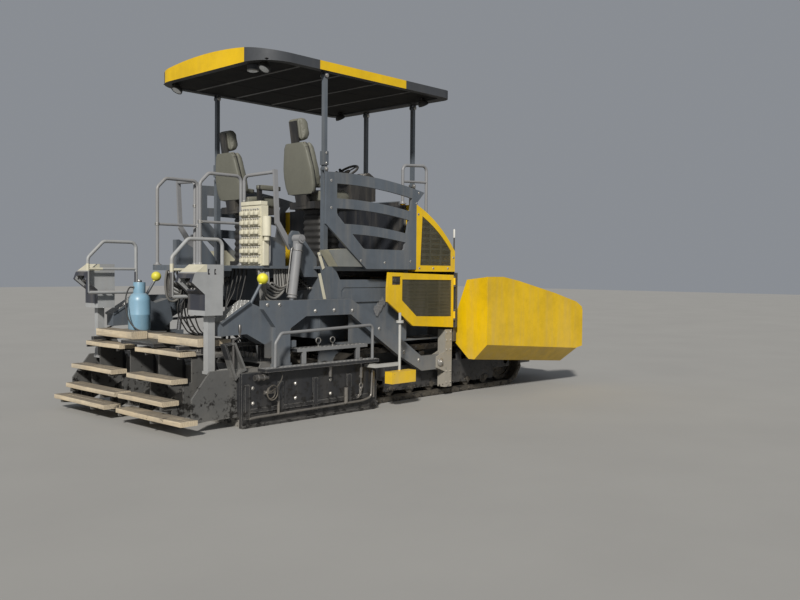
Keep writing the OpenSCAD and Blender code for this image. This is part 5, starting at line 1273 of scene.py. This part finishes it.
class PAVER_OT_lamps(bpy.types.Operator):
    """Makes the work lamps under the roof and the position lamps"""

    bl_idname = "paver.lamps"
    bl_label = "Lamps"

    def execute(self, context):
        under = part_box("canopy_roof")[0].z + 0.082
        bowl = [(0.0, 0.0), (0.030, 0.0), (0.058, -0.022), (0.066, -0.050), (0.069, -0.058),
                (0.069, -0.072), (0.060, -0.074), (0.058, -0.066), (0.0, -0.060)]
        lens = [(0.0, -0.058), (0.056, -0.060), (0.056, -0.071), (0.030, -0.079), (0.0, -0.082)]
        bodies, glass = [], []
        stem = lathe([(0.012, 0.0), (0.012, 0.06), (0.0, 0.06)], 12)
        for x, y, lean in ((0.62, -0.86, 0.495), (0.62, 0.86, 0.495), (3.20, -0.80, -0.495),
                           (3.20, 0.80, -0.495)):
            turn, place = facing((lean, 0.0, 0.83)), [at(x, y, under - 0.025)]
            bodies.append(copies(lathe(bowl, 32), place, turn))
            bodies.append(copies(stem, [at(x, y, under - 0.045)]))
            glass.append(copies(lathe(lens, 32), place, turn))
        piece("work_lamps", join(*bodies), "shell", "canopy_roof")
        piece("lamp_lenses", join(*glass), "glass", "canopy_roof")
        middle = [at(0.60, -0.640, 3.7995)]
        round_lens = lathe([(0.0, 0.0), (0.050, -0.002), (0.054, -0.008), (0.040, -0.020),
                            (0.0, -0.026)], 32)
        bezel = lathe([(0.050, 0.002), (0.063, 0.002), (0.063, -0.010), (0.054, -0.012),
                       (0.050, -0.006)], 32)
        piece("roof_lamp_lens", copies(round_lens, middle), "glass", "canopy_roof")
        piece("roof_lamp_bezel", copies(bezel, middle), "zinc", "canopy_roof")
        # Lining panels in five rows of three, and the straps between the rows
        panels = []
        for x0, x1 in ((0.496, 0.946), (0.994, 1.546), (1.594, 2.146), (2.194, 2.746),
                       (2.794, 3.304)):
            for y0, y1 in ((-1.014, -0.342), (-0.336, 0.336), (0.342, 1.014)):
                panels.append(block((x0, y0, under - 0.007), (x1, y1, under + 0.001)))
        piece("roof_lining", join(*panels), "lining", "canopy_roof", bevel=0.003)
        straps = [block((x, -1.015, under - 0.012), (x + 0.04, 1.015, under + 0.001))
                  for x in (0.95, 1.55, 2.15, 2.75)]
        piece("roof_straps", join(*straps), "shell", "canopy_roof", "roof_paint", bevel=0.003)
        return {"FINISHED"}


class PAVER_OT_controls(bpy.types.Operator):
    """Makes the console's buttons and levers, the valve modules' plugs and the pods' panels"""

    bl_idname = "paver.controls"
    bl_label = "Controls"

    def execute(self, context):
        knob = lathe([(0.020, 0.0), (0.022, 0.004), (0.019, 0.010), (0.015, 0.026),
                      (0.012, 0.030), (0.0, 0.031)], 20)
        button = lathe([(0.012, 0.0), (0.012, 0.004), (0.009, 0.007), (0.0, 0.008)], 14)
        # Valve modules: four plugs and two coils on every front
        fronts = [(y, DECK_Z + 0.02 + 0.1017 * (i + 0.5)) for y in (-0.867, -0.693)
                  for i in range(6)]
        plugs = [at(0.4595, y + s, z + 0.028) for y, z in fronts
                 for s in (-0.060, -0.018, 0.018, 0.060)]
        piece("valve_plugs", copies(hex_bolt(0.009, 0.010), plugs, REARWARD), "zinc", "root")
        coil = puffed(loop(0.066, 0.044, 8.0, 16), 0.014, 0.004, 5)
        coils = [at(0.4465, y + s, z - 0.016) for y, z in fronts for s in (-0.039, 0.039)]
        piece("valve_coils", copies(coil, coils, REARWARD), "cream", "root", angle=50.0)
        # Console: buttons on its sloped panel and two levers
        slope = unit([0.15, 0.0, 0.10])
        normal = np.cross(slope, (0.0, 1.0, 0.0))
        base = at(2.450, -0.200, 2.760)
        spots = [base + slope * 0.03 * (i + 1) + (0.0, 0.036 * j - 0.19, 0.0)
                 for i in range(5) for j in range(5)]
        piece("console_buttons", copies(button, spots, facing(normal)), "zinc", "console")
        lever = lathe([(0.016, 0.0), (0.026, 0.004), (0.012, 0.024), (0.007, 0.03), (0.007, 0.085),
                       (0.016, 0.094), (0.020, 0.112), (0.014, 0.128), (0.0, 0.131)], 18)
        spots = [base + slope * reach + (0.0, 0.19, 0.0) for reach in (0.05, 0.12)]
        piece("console_levers", copies(lever, spots, facing(normal)), "shell", "console")
        # Pods: a sloped panel with knobs at each box's rear
        panel = side_slab([(-0.225, 1.24), (-0.245, 1.24), (-0.470, 1.50), (-0.452, 1.515)],
                          0.965, 1.190)
        knobs = [at(-0.30 - 0.05 * i, 1.00 + 0.055 * j, 1.302 + 0.058 * i)
                 for i in range(4) for j in range(4)]
        pair("pod_panel", panel, "shell", "extension_{side}", bevel=0.002)
        pair("pod_knobs", copies(knob, knobs, facing((-0.75, 0.0, -0.66))), "zinc", "extension_{side}")
        return {"FINISHED"}


class PAVER_OT_treads(bpy.types.Operator):
    """Makes the raised pattern of the checker plates on the deck, the ramps and the side steps"""

    bl_idname = "paver.treads"
    bl_label = "Checker plates"

    def execute(self, context):
        deck = []
        for x0, x1, y0, y1 in ((0.47, 1.17, -0.90, 0.90), (1.19, 2.54, -1.11, 1.11),
                               (0.04, 0.46, -0.45, 0.45)):
            deck.append(lozenges(at(x0, y0, DECK_Z), (1, 0, 0), (0, 1, 0), x1 - x0, y1 - y0))
        piece("deck_pattern", join(*deck), "plate", "root", angle=20.0)
        # The neck's tread rises from its rear end to its front end
        rear, front = np.array([-0.192, 1.080]), np.array([0.168, 1.290])
        rise = front - rear
        ramp = lozenges(at(rear[0], 0.992, rear[1]), (rise[0], 0, rise[1]), (0, 1, 0),
                        np.linalg.norm(rise), 0.186)
        pair("ramp_pattern", ramp, "plate", "screed", angle=20.0)
        steps = join(lozenges(at(0.20, 1.322, 0.595), (1, 0, 0), (0, 1, 0), 1.61, 0.095),
                     lozenges(at(0.71, 1.165, 0.765), (1, 0, 0), (0, 1, 0), 1.01, 0.15))
        pair("side_step_pattern", steps, "gate", "extension_{side}", angle=20.0)
        seams = join(*(block((x, 1.162, 0.7645), (x + 0.012, 1.318, 0.7665))
                       for x in (0.98, 1.23, 1.48)))
        pair("side_step_seams", seams, "link", "extension_{side}")
        return {"FINISHED"}


class PAVER_OT_tracks(bpy.types.Operator):
    """Makes the track chains' link plates, the wheel caps and the roller bolts"""

    bl_idname = "paver.tracks"
    bl_label = "Track details"

    def execute(self, context):
        rear, front = 1.950, 4.720
        radius, mid_y, half_w, count = 0.340, 0.945, 0.155, 42
        total = 2 * (front - rear) + 2 * np.pi * radius
        line = radius - 0.036
        s = np.arange(count) * total / count
        straight, turn = front - rear, np.pi * radius
        # The loop in four stretches: ground run, front curve, return run, rear curve
        a = np.where(s < straight + turn, (s - straight) / radius - np.pi / 2,
                     (s - 2 * straight - turn) / radius + np.pi / 2)
        low, curve = s < straight, (s >= straight) & (s < straight + turn)
        top = (s >= straight + turn) & (s < 2 * straight + turn)
        zero, one = 0 * s, 0 * s + 1
        x = np.select([low, top, curve], [rear + s, front - (s - straight - turn),
                                          front + line * np.cos(a)], rear + line * np.cos(a))
        z = radius + np.select([low, top], [zero - line, zero + line], line * np.sin(a))
        angle = np.select([low, top], [zero, zero + np.pi], a + np.pi / 2)
        turns = np.stack([np.stack([np.cos(angle), zero, np.sin(angle)], -1),
                          np.stack([zero, one, zero], -1),
                          np.stack([-np.sin(angle), zero, np.cos(angle)], -1)], axis=2)
        places = np.stack([x + STATION_X, zero, z], -1)
        pitch = total / count
        plate = [(-0.62 * pitch, -0.012), (-0.50 * pitch, -0.026), (-0.20 * pitch, -0.027),
                 (0.0, -0.018), (0.20 * pitch, -0.027), (0.50 * pitch, -0.026),
                 (0.62 * pitch, -0.012), (0.62 * pitch, 0.012), (0.50 * pitch, 0.026),
                 (-0.50 * pitch, 0.026), (-0.62 * pitch, 0.012)]
        link = laid(slab(plate, 0.007))
        other = laid(slab(plate, 0.007), (0.0, 0.006, 0.0))
        pin = copies(disc(0.017, 0.006, 0.012, 0.008, 14), [(0.5 * pitch, 0.012, 0.0)], OUTWARD)
        outer_y, inner_y = mid_y + half_w - 0.001, mid_y - half_w + 0.001
        outer = join(copies(join(link, pin), places[::2] + (0, outer_y, 0), turns[::2]),
                     copies(join(other, pin), places[1::2] + (0, outer_y, 0), turns[1::2]))
        inner = copies(mirrored(copies(link, places, turns)), [(0, inner_y, 0)])
        pair("track_links", join(outer, inner), "track", "root")
        hub = lathe([(0.132, 0.0), (0.132, 0.018), (0.118, 0.026), (0.080, 0.030), (0.074, 0.052),
                     (0.050, 0.062), (0.0, 0.062)], 40)
        cap = disc(0.058, 0.012, 0.044, 0.020, 28)

        def circle(x, y, reach, count):
            return [at(x + reach * math.cos(t), mid_y + y, radius + reach * math.sin(t))
                    for t in angles(count)]

        wheels = join(copies(hub, circle(rear, 0.090, 0.0, 1), OUTWARD),
                      copies(hex_bolt(0.011, 0.009), circle(rear, 0.116, 0.104, 12), OUTWARD),
                      copies(cap, circle(front, 0.115, 0.0, 1), OUTWARD),
                      copies(hex_bolt(0.013, 0.010), circle(front, 0.0155, 0.16, 6), OUTWARD))
        pair("wheel_hubs", wheels, "track", "root", bevel=0.001)
        first, step = rear + 0.420, (front - rear - 0.900) / 5
        ends = [at(first + i * step, mid_y + 0.135, 0.1553) for i in range(6)]
        ends += [at(first + (i + 0.5) * step, mid_y + 0.135, 0.5547) for i in (1, 3)]
        rollers = join(copies(disc(0.038, 0.010, 0.028, 0.014, 20), ends, OUTWARD),
                       copies(hex_bolt(0.010, 0.008), [e + (dx, 0.0, 0.0) for e in ends[:6]
                                                       for dx in (-0.058, 0.058)], OUTWARD))
        pair("roller_caps", rollers, "track", "root")
        return {"FINISHED"}


class PAVER_OT_conveyors(bpy.types.Operator):
    """Makes the chains of the slat conveyors"""

    bl_idname = "paver.conveyors"
    bl_label = "Conveyor chains"

    def execute(self, context):
        low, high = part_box("conveyors")
        floor = low.z + 0.199  # the level of the hopper's floor plates
        x0, x1 = low.x - STATION_X + 0.10, high.x - STATION_X - 0.05
        chains = [chain([at(x0, y, floor + 0.036), at(x1, y, floor + 0.036)], 0.110, 0.010)
                  for y in (0.115, 0.665)]
        pair("conveyor_chains", join(*chains), "worn", "root")
        return {"FINISHED"}


class PAVER_OT_gate_fittings(bpy.types.Operator):
    """Makes what hangs on the end gates: turnbuckles, chains, rods, sleeves and lifting eyes"""

    bl_idname = "paver.gate_fittings"
    bl_label = "Gate fittings"

    def execute(self, context):
        y = 1.360
        edge = tube(bent([at(0.03, y, 0.098), at(0.10, y, 0.106), at(1.60, y, 0.122),
                          at(1.755, y, 0.150), at(1.772, y, 0.46)], 0.05), 0.013, 10)
        stubs = [tube([at(x, y, z0), at(x, y, z0 + h)], r, 14)
                 for x, z0, h, r in ((0.40, 0.115, 0.13, 0.016), (1.36, 0.125, 0.17, 0.024),
                                     (1.12, 0.44, 0.105, 0.020))]
        post = block((1.800, 1.318, 0.14), (1.822, 1.346, 0.44))
        ribs = lathe([(0.030, 0.0), (0.030, 0.030), (0.036, 0.033), (0.036, 0.045), (0.030, 0.048),
                      (0.030, 0.100), (0.036, 0.103), (0.036, 0.115), (0.030, 0.118),
                      (0.030, 0.160), (0.0, 0.162)], 24)
        sleeve = copies(ribs, [at(0.10, 1.352, 0.505)], FORWARD)
        pair("gate_rods", join(edge, *stubs, post, sleeve), "link", "extension_{side}")
        # A turnbuckle on a short chain
        x = 1.585
        eye = ring_tube(oval(0.060, 0.044, 10), 0.007, 8)
        body = lathe([(0.008, 0.0), (0.019, 0.006), (0.019, 0.120), (0.008, 0.126)], 12)
        rods = lathe([(0.007, -0.060), (0.007, 0.186), (0.0, 0.187)], 10)
        hook = copies(eye, [at(x, y + 0.006, 0.585), at(x, y + 0.006, 0.295)],
                      OUTWARD @ np.array([[0, -1, 0], [1, 0, 0], [0, 0, 1]], dtype=float))
        buckle = copies(join(body, rods), [at(x, y + 0.006, 0.385)])
        links = chain([at(x, y + 0.006, 0.275), at(x - 0.01, y + 0.004, 0.20),
                       at(x - 0.05, y, 0.165)], 0.036, 0.004)
        pair("gate_turnbuckle", join(hook, buckle, links), "link", "extension_{side}")
        eyes = []
        for x in (1.05, 1.26):
            eyes.append(copies(ring_tube(oval(0.066, 0.060, 10), 0.0065, 8),
                               [at(x, 1.24, 0.832)], OUTWARD))
            eyes.append(copies(lathe([(0.014, 0.0), (0.014, 0.012), (0.008, 0.016),
                                      (0.008, 0.040), (0.0, 0.041)], 14), [at(x, 1.24, 0.765)]))
        pair("lifting_eyes", join(*eyes), "zinc", "extension_{side}")
        # A thin hose coiled round the clamp on the gate's outer side
        turns = np.linspace(0.0, 5 * np.pi, 70)
        coil = np.stack([0.28 + STATION_X + (0.040 + 0.002 * turns) * np.cos(turns),
                         1.368 + 0.004 * turns, 0.345 + (0.052 + 0.002 * turns) * np.sin(turns)],
                        -1)
        lead = smooth_path([coil[-1], at(0.36, 1.39, 0.40), at(0.44, 1.375, 0.50),
                            at(0.40, 1.365, 0.58)])
        pair("gate_lead", join(tube(coil, 0.006, 8), tube(lead, 0.006, 8)),
             "rubber", "extension_{side}")
        clamp = join(block((0.22, 1.342, 0.33), (0.35, 1.362, 0.365)),
                     bolts([(0.24, 1.362, 0.347), (0.33, 1.362, 0.347)], 0.010))
        pair("gate_clamp", clamp, "link", "extension_{side}", bevel=0.002)
        # A hand crank on each cranked link
        x, y, reach = -0.10, 1.262, 0.08
        spindle = [tube([at(x, y, 0.60), at(x, y, 0.905)], 0.016, 14),
                   tube(bent([at(x, y, 0.895), at(x + reach, y, 0.925), at(x + reach, y, 0.985)],
                             0.02), 0.009)]
        grip = copies(lathe([(0.013, 0.0), (0.016, 0.02), (0.016, 0.075), (0.010, 0.085),
                             (0.0, 0.086)], 14), [at(x + reach, y, 0.965)])
        pair("link_crank", join(*spindle, grip), "link", "extension_{side}")
        return {"FINISHED"}


class PAVER_OT_hydraulics(bpy.types.Operator):
    """Makes hose ends, pipes on the lift cylinders, stays and the hoses down to the screed"""

    bl_idname = "paver.hydraulics"
    bl_label = "Hoses and pipes"

    def execute(self, context):
        radius = context.scene.paver_details.hose_radius
        ferrule = lathe([(0.0165, 0.0), (0.0165, 0.030), (0.019, 0.032), (0.019, 0.048),
                         (0.0165, 0.050), (0.0165, 0.066), (0.0, 0.066)], 12)
        for side, sign, count in (("right", -1.0, 7), ("left", 1.0, 5)):
            i = np.arange(count)
            top = np.stack([0.510 + 0.027 * i + STATION_X, sign * (0.915 - 0.045 * i),
                            DECK_Z - 0.096 + 0 * i], -1)
            end = np.stack([1.184 + STATION_X + 0 * i, sign * (0.885 - 0.045 * i),
                            1.400 + 0.024 * i], -1)
            shape = join(copies(ferrule, top), copies(ferrule, end, FORWARD))
            piece(f"hose_ferrules_{side}", shape, "zinc", "root")
        # Pipe along each lift cylinder's barrel, drawn from the upper pin down
        tilt = math.atan2(0.900 - 0.740, 1.950 - 0.800)

        def on_lift(points):
            points = np.array(points, dtype=float)
            x = points[:, 0] * math.cos(tilt) + points[:, 2] * math.sin(tilt)
            z = -points[:, 0] * math.sin(tilt) + points[:, 2] * math.cos(tilt)
            return np.stack([x, points[:, 1], z], -1) + at(0.900, 1.072, 1.950)

        pipe = tube(on_lift(bent([(-0.055, 0.0, -0.105), (-0.082, 0.0, -0.120),
                                  (-0.082, 0.0, -0.610), (-0.050, 0.0, -0.628)], 0.018)),
                    0.0075, 10)
        bands = [ring_tube(on_lift([(0.0555 * math.cos(t), 0.0555 * math.sin(t), z)
                                    for t in angles(36)]), 0.0045, 6,
                           up=(math.sin(tilt), 0, math.cos(tilt))) for z in (-0.13, -0.62, -0.652)]
        pair("lift_pipes", join(pipe, *bands), "zinc", "lift_barrels")
        outlines = ([(1.112, 1.800), (1.150, 1.812), (1.222, 1.632), (1.186, 1.612)],
                    [(1.126, 1.566), (1.164, 1.574), (1.246, 1.282), (1.204, 1.282)])
        inner, outer = 1.1415, 1.1475
        stays = join(*(side_slab(outline, inner, outer) for outline in outlines))
        pair("cream_stays", stays, "cream", "root", bevel=0.001)
        pair("stay_bolts", bolts([(1.140, outer, 1.780)], 0.010), "zinc", "root")
        # A bundle of hoses bulges out from under the deck's edge in front of each ball
        loops = []
        for i in range(8):
            y, x0, x1 = 0.930 + 0.006 * (i % 4), 0.475 + 0.016 * i, 0.700 + 0.034 * i
            low = 1.205 + 0.030 * i
            loops.append(tube(smooth_path([
                at(x0 + 0.02, 0.90, 1.625), at(x0 + 0.006, y - 0.01, 1.56),
                at(x0, y + 0.01, 1.42), at(x0 + 0.03, y + 0.012, low + 0.05),
                at((x0 + x1) / 2, y + 0.008, low), at(x1 - 0.02, y, low + 0.07),
                at(x1, y - 0.015, 1.45), at(x1, 0.90, 1.625)]), 0.011 if i % 3 else 0.014))
        # Their light grey colour is painted sheen of sun on black rubber
        pair("deck_hoses", join(*loops), "hose", "root", angle=60.0)
        # Hoses that hang from the deck down to the screed
        hoses, sockets = [], []
        for i, y in enumerate((0.30, 0.36, 0.43, 0.50, 0.58)):
            drop = 0.05 * (i % 3)
            hoses.append(tube(smooth_path([
                at(0.56, y, 1.618), at(0.555, y, 1.54), at(0.50, y + 0.01, 1.36),
                at(0.48 - drop, y + 0.02, 1.12), at(0.55, y + 0.02, 0.90 - drop * 0.5),
                at(0.66, y + 0.01, 0.80), at(0.70, y, 0.68), at(0.70, y, 0.606)], 10),
                radius * (1.2 if i % 2 else 1.0)))
            sockets.append(at(0.70, y, 0.604))
        bend = ("root", "screed", tuple(at(0.56, 0.0, 1.56)), tuple(at(0.68, 0.0, 0.66)))
        pair("screed_hoses", join(*hoses), "rubber", bend, angle=60.0)
        pair("screed_hose_ends", copies(ferrule, sockets), "zinc", "screed")
        return {"FINISHED"}


class PAVER_OT_rail_fittings(bpy.types.Operator):
    """Makes the rails' feet and clamps, the pivot caps of the posts and the pole's tip"""

    bl_idname = "paver.rail_fittings"
    bl_label = "Rail fittings"

    def execute(self, context):
        foot = lathe([(0.046, 0.0), (0.046, 0.010), (0.028, 0.012), (0.024, 0.030),
                      (0.020, 0.032)], 24)
        feet = [at(x, y, DECK_Z) for x, y in ((0.060, 0.430), (0.600, 0.430), (0.600, 0.490))]
        pair("rail_feet", copies(foot, feet), "tube", "root")
        collar = lathe([(0.0195, -0.016), (0.025, -0.016), (0.025, 0.016), (0.0195, 0.016)], 20)
        marks = [(0.060, 0.430, 2.12), (0.600, 0.430, 2.12), (0.600, 0.490, 2.36),
                 (0.600, 0.490, 1.96)]
        ears = [block((x - 0.004, y + 0.022, z - 0.012), (x + 0.004, y + 0.052, z + 0.012))
                for x, y, z in marks[:2]]
        pair("rail_clamps", join(copies(collar, [at(*m) for m in marks]), *ears), "zinc", "root")
        pads = [(2.640, 1.0, 2.440), (3.080, 1.0, 2.150)]
        pair("hoop_feet", copies(foot, [at(*p) for p in pads]), "tube", "root")
        cap = join(disc(0.026, 0.006, 0.020, 0.010, 24),
                   copies(hex_bolt(0.012, 0.008), [(0, 0, 0.010)]))
        for name, z, body in (("lower", 2.750, "root"), ("upper", 3.800, "canopy_roof")):
            caps = join(*(copies(cap, [at(x, y + face * 0.0362, z)], facing((0, face, 0)))
                          for x, y in ((1.300, 1.040), (3.410, 0.450)) for face in (1, -1)))
            pair(f"pivot_caps_{name}", caps, "zinc", body)
        sleeve = bolts([(1.300, 1.075, z) for z in (2.815, 2.930)], 0.011)
        pair("sleeve_bolts", sleeve, "zinc", "rear_posts")
        tip = copies(lathe([(0.0, -0.004), (0.014, 0.0), (0.014, 0.10), (0.008, 0.112),
                            (0.0, 0.113)], 16), [at(3.410, -1.200, 2.040)])
        piece("pole_tip", tip, "white", "root")
        # Handle and stiffener on the valve cabinet's outer side
        handle = tube(bent([at(0.578, -0.945, 2.120), at(0.578, -0.982, 2.110),
                            at(0.578, -0.982, 1.700), at(0.578, -0.962, 1.655)], 0.02),
                      0.008, 10, up=(1, 0, 0))
        piece("cabinet_handle", handle, "tube", "root")
        side = join(block((0.486, -0.993, 1.652), (0.556, -0.962, 1.915)),
                    block((0.470, -0.955, 2.302), (0.566, -0.605, 2.345)))
        piece("cabinet_trim", side, "cream", "root", bevel=0.004)
        return {"FINISHED"}


# Where the photograph was taken from, its tilt and its roll, and the sun's direction
CAMERA_PLACE = (-7.891, -8.45, 1.62)
PITCH, ROLL = math.radians(-2.0), math.radians(0.5)
FILM_WIDTH = 36.0
SUN_FROM = Vector((-0.66, -0.50, 0.56))
FLOOR_REACH = 60.0


class PAVER_OT_stage(bpy.types.Operator):
    """Makes the floor, the soft light and the camera at the photograph's angle"""

    bl_idname = "paver.stage"
    bl_label = "Stage"

    def execute(self, context):
        scene = context.scene
        values = scene.paver_stage
        material, tree, shader, place = new_material("Pale floor")
        cloud = noise(tree, place, 0.6, 5.0)
        feed(tree, shader, {
            "Base Color": blend(tree, cloud, (0.27, 0.266, 0.255), (0.32, 0.315, 0.30)),
            "Roughness": 0.9})
        corners = FLOOR_REACH * np.array([[[-1, -1, 0], [-1, 1, 0]], [[1, -1, 0], [1, 1, 0]]])
        mesh = mesh_of("floor", surface(corners), recalculate=False)
        mesh.flip_normals()
        mesh.materials.append(material)
        placed("floor", mesh)
        world = bpy.data.worlds.new("Soft light")
        world.use_nodes = True
        back = world.node_tree.nodes["Background"]
        back.inputs["Color"].default_value = (0.84, 0.89, 0.97, 1.0)
        back.inputs["Strength"].default_value = values.sky_strength
        scene.world = world
        light = bpy.data.lights.new("Key", "SUN")
        light.energy = values.sun_strength
        light.angle = math.radians(5.0)
        light.color = (1.0, 0.965, 0.91)
        placed("Key", light).rotation_euler = SUN_FROM.to_track_quat("Z", "Y").to_euler()
        camera = bpy.data.cameras.new("Camera")
        camera.lens = values.lens
        camera.sensor_width = FILM_WIDTH
        camera.clip_end = 200.0
        eye = placed("Camera", camera)
        look = Vector((math.cos(PITCH) * math.cos(values.heading),
                       math.cos(PITCH) * math.sin(values.heading), math.sin(PITCH)))
        turn = look.to_track_quat("-Z", "Y").to_matrix() @ Matrix.Rotation(ROLL, 3, "Z")
        eye.matrix_world = Matrix.Translation(CAMERA_PLACE) @ turn.to_4x4()
        scene.camera = eye
        scene.view_settings.view_transform = "Standard"
        return {"FINISHED"}


STEPS = (PAVER_OT_stage, PAVER_OT_finish, PAVER_OT_grilles, PAVER_OT_planks, PAVER_OT_seats,
         PAVER_OT_fasteners, PAVER_OT_bottle, PAVER_OT_lamps, PAVER_OT_controls,
         PAVER_OT_treads, PAVER_OT_tracks, PAVER_OT_conveyors, PAVER_OT_gate_fittings,
         PAVER_OT_hydraulics, PAVER_OT_rail_fittings)


class PAVER_PT_sidebar(bpy.types.Panel):
    """Lists the steps and their values in the sidebar"""

    bl_label = "Paver"
    bl_idname = "PAVER_PT_sidebar"
    bl_space_type = "VIEW_3D"
    bl_region_type = "UI"
    bl_category = "Paver"

    def draw(self, context):
        for group in ("paver_finish", "paver_details", "paver_stage"):
            values = getattr(context.scene, group)
            for name in values.bl_rna.properties.keys():
                if name not in ("rna_type", "name"):
                    self.layout.prop(values, name)
        for step in STEPS:
            self.layout.operator(step.bl_idname)


CLASSES = (PAVER_PG_finish, PAVER_PG_stage, PAVER_PG_details, *STEPS, PAVER_PT_sidebar)


def register():
    for cls in CLASSES:
        bpy.utils.register_class(cls)
    bpy.types.Scene.paver_finish = bpy.props.PointerProperty(type=PAVER_PG_finish)
    bpy.types.Scene.paver_stage = bpy.props.PointerProperty(type=PAVER_PG_stage)
    bpy.types.Scene.paver_details = bpy.props.PointerProperty(type=PAVER_PG_details)


def unregister():
    for cls in reversed(CLASSES):
        bpy.utils.unregister_class(cls)
    del bpy.types.Scene.paver_finish
    del bpy.types.Scene.paver_stage
    del bpy.types.Scene.paver_details


def main():
    register()
    for step in STEPS:
        getattr(bpy.ops.paver, step.bl_idname.removeprefix("paver."))()


if __name__ == "__main__":
    main()
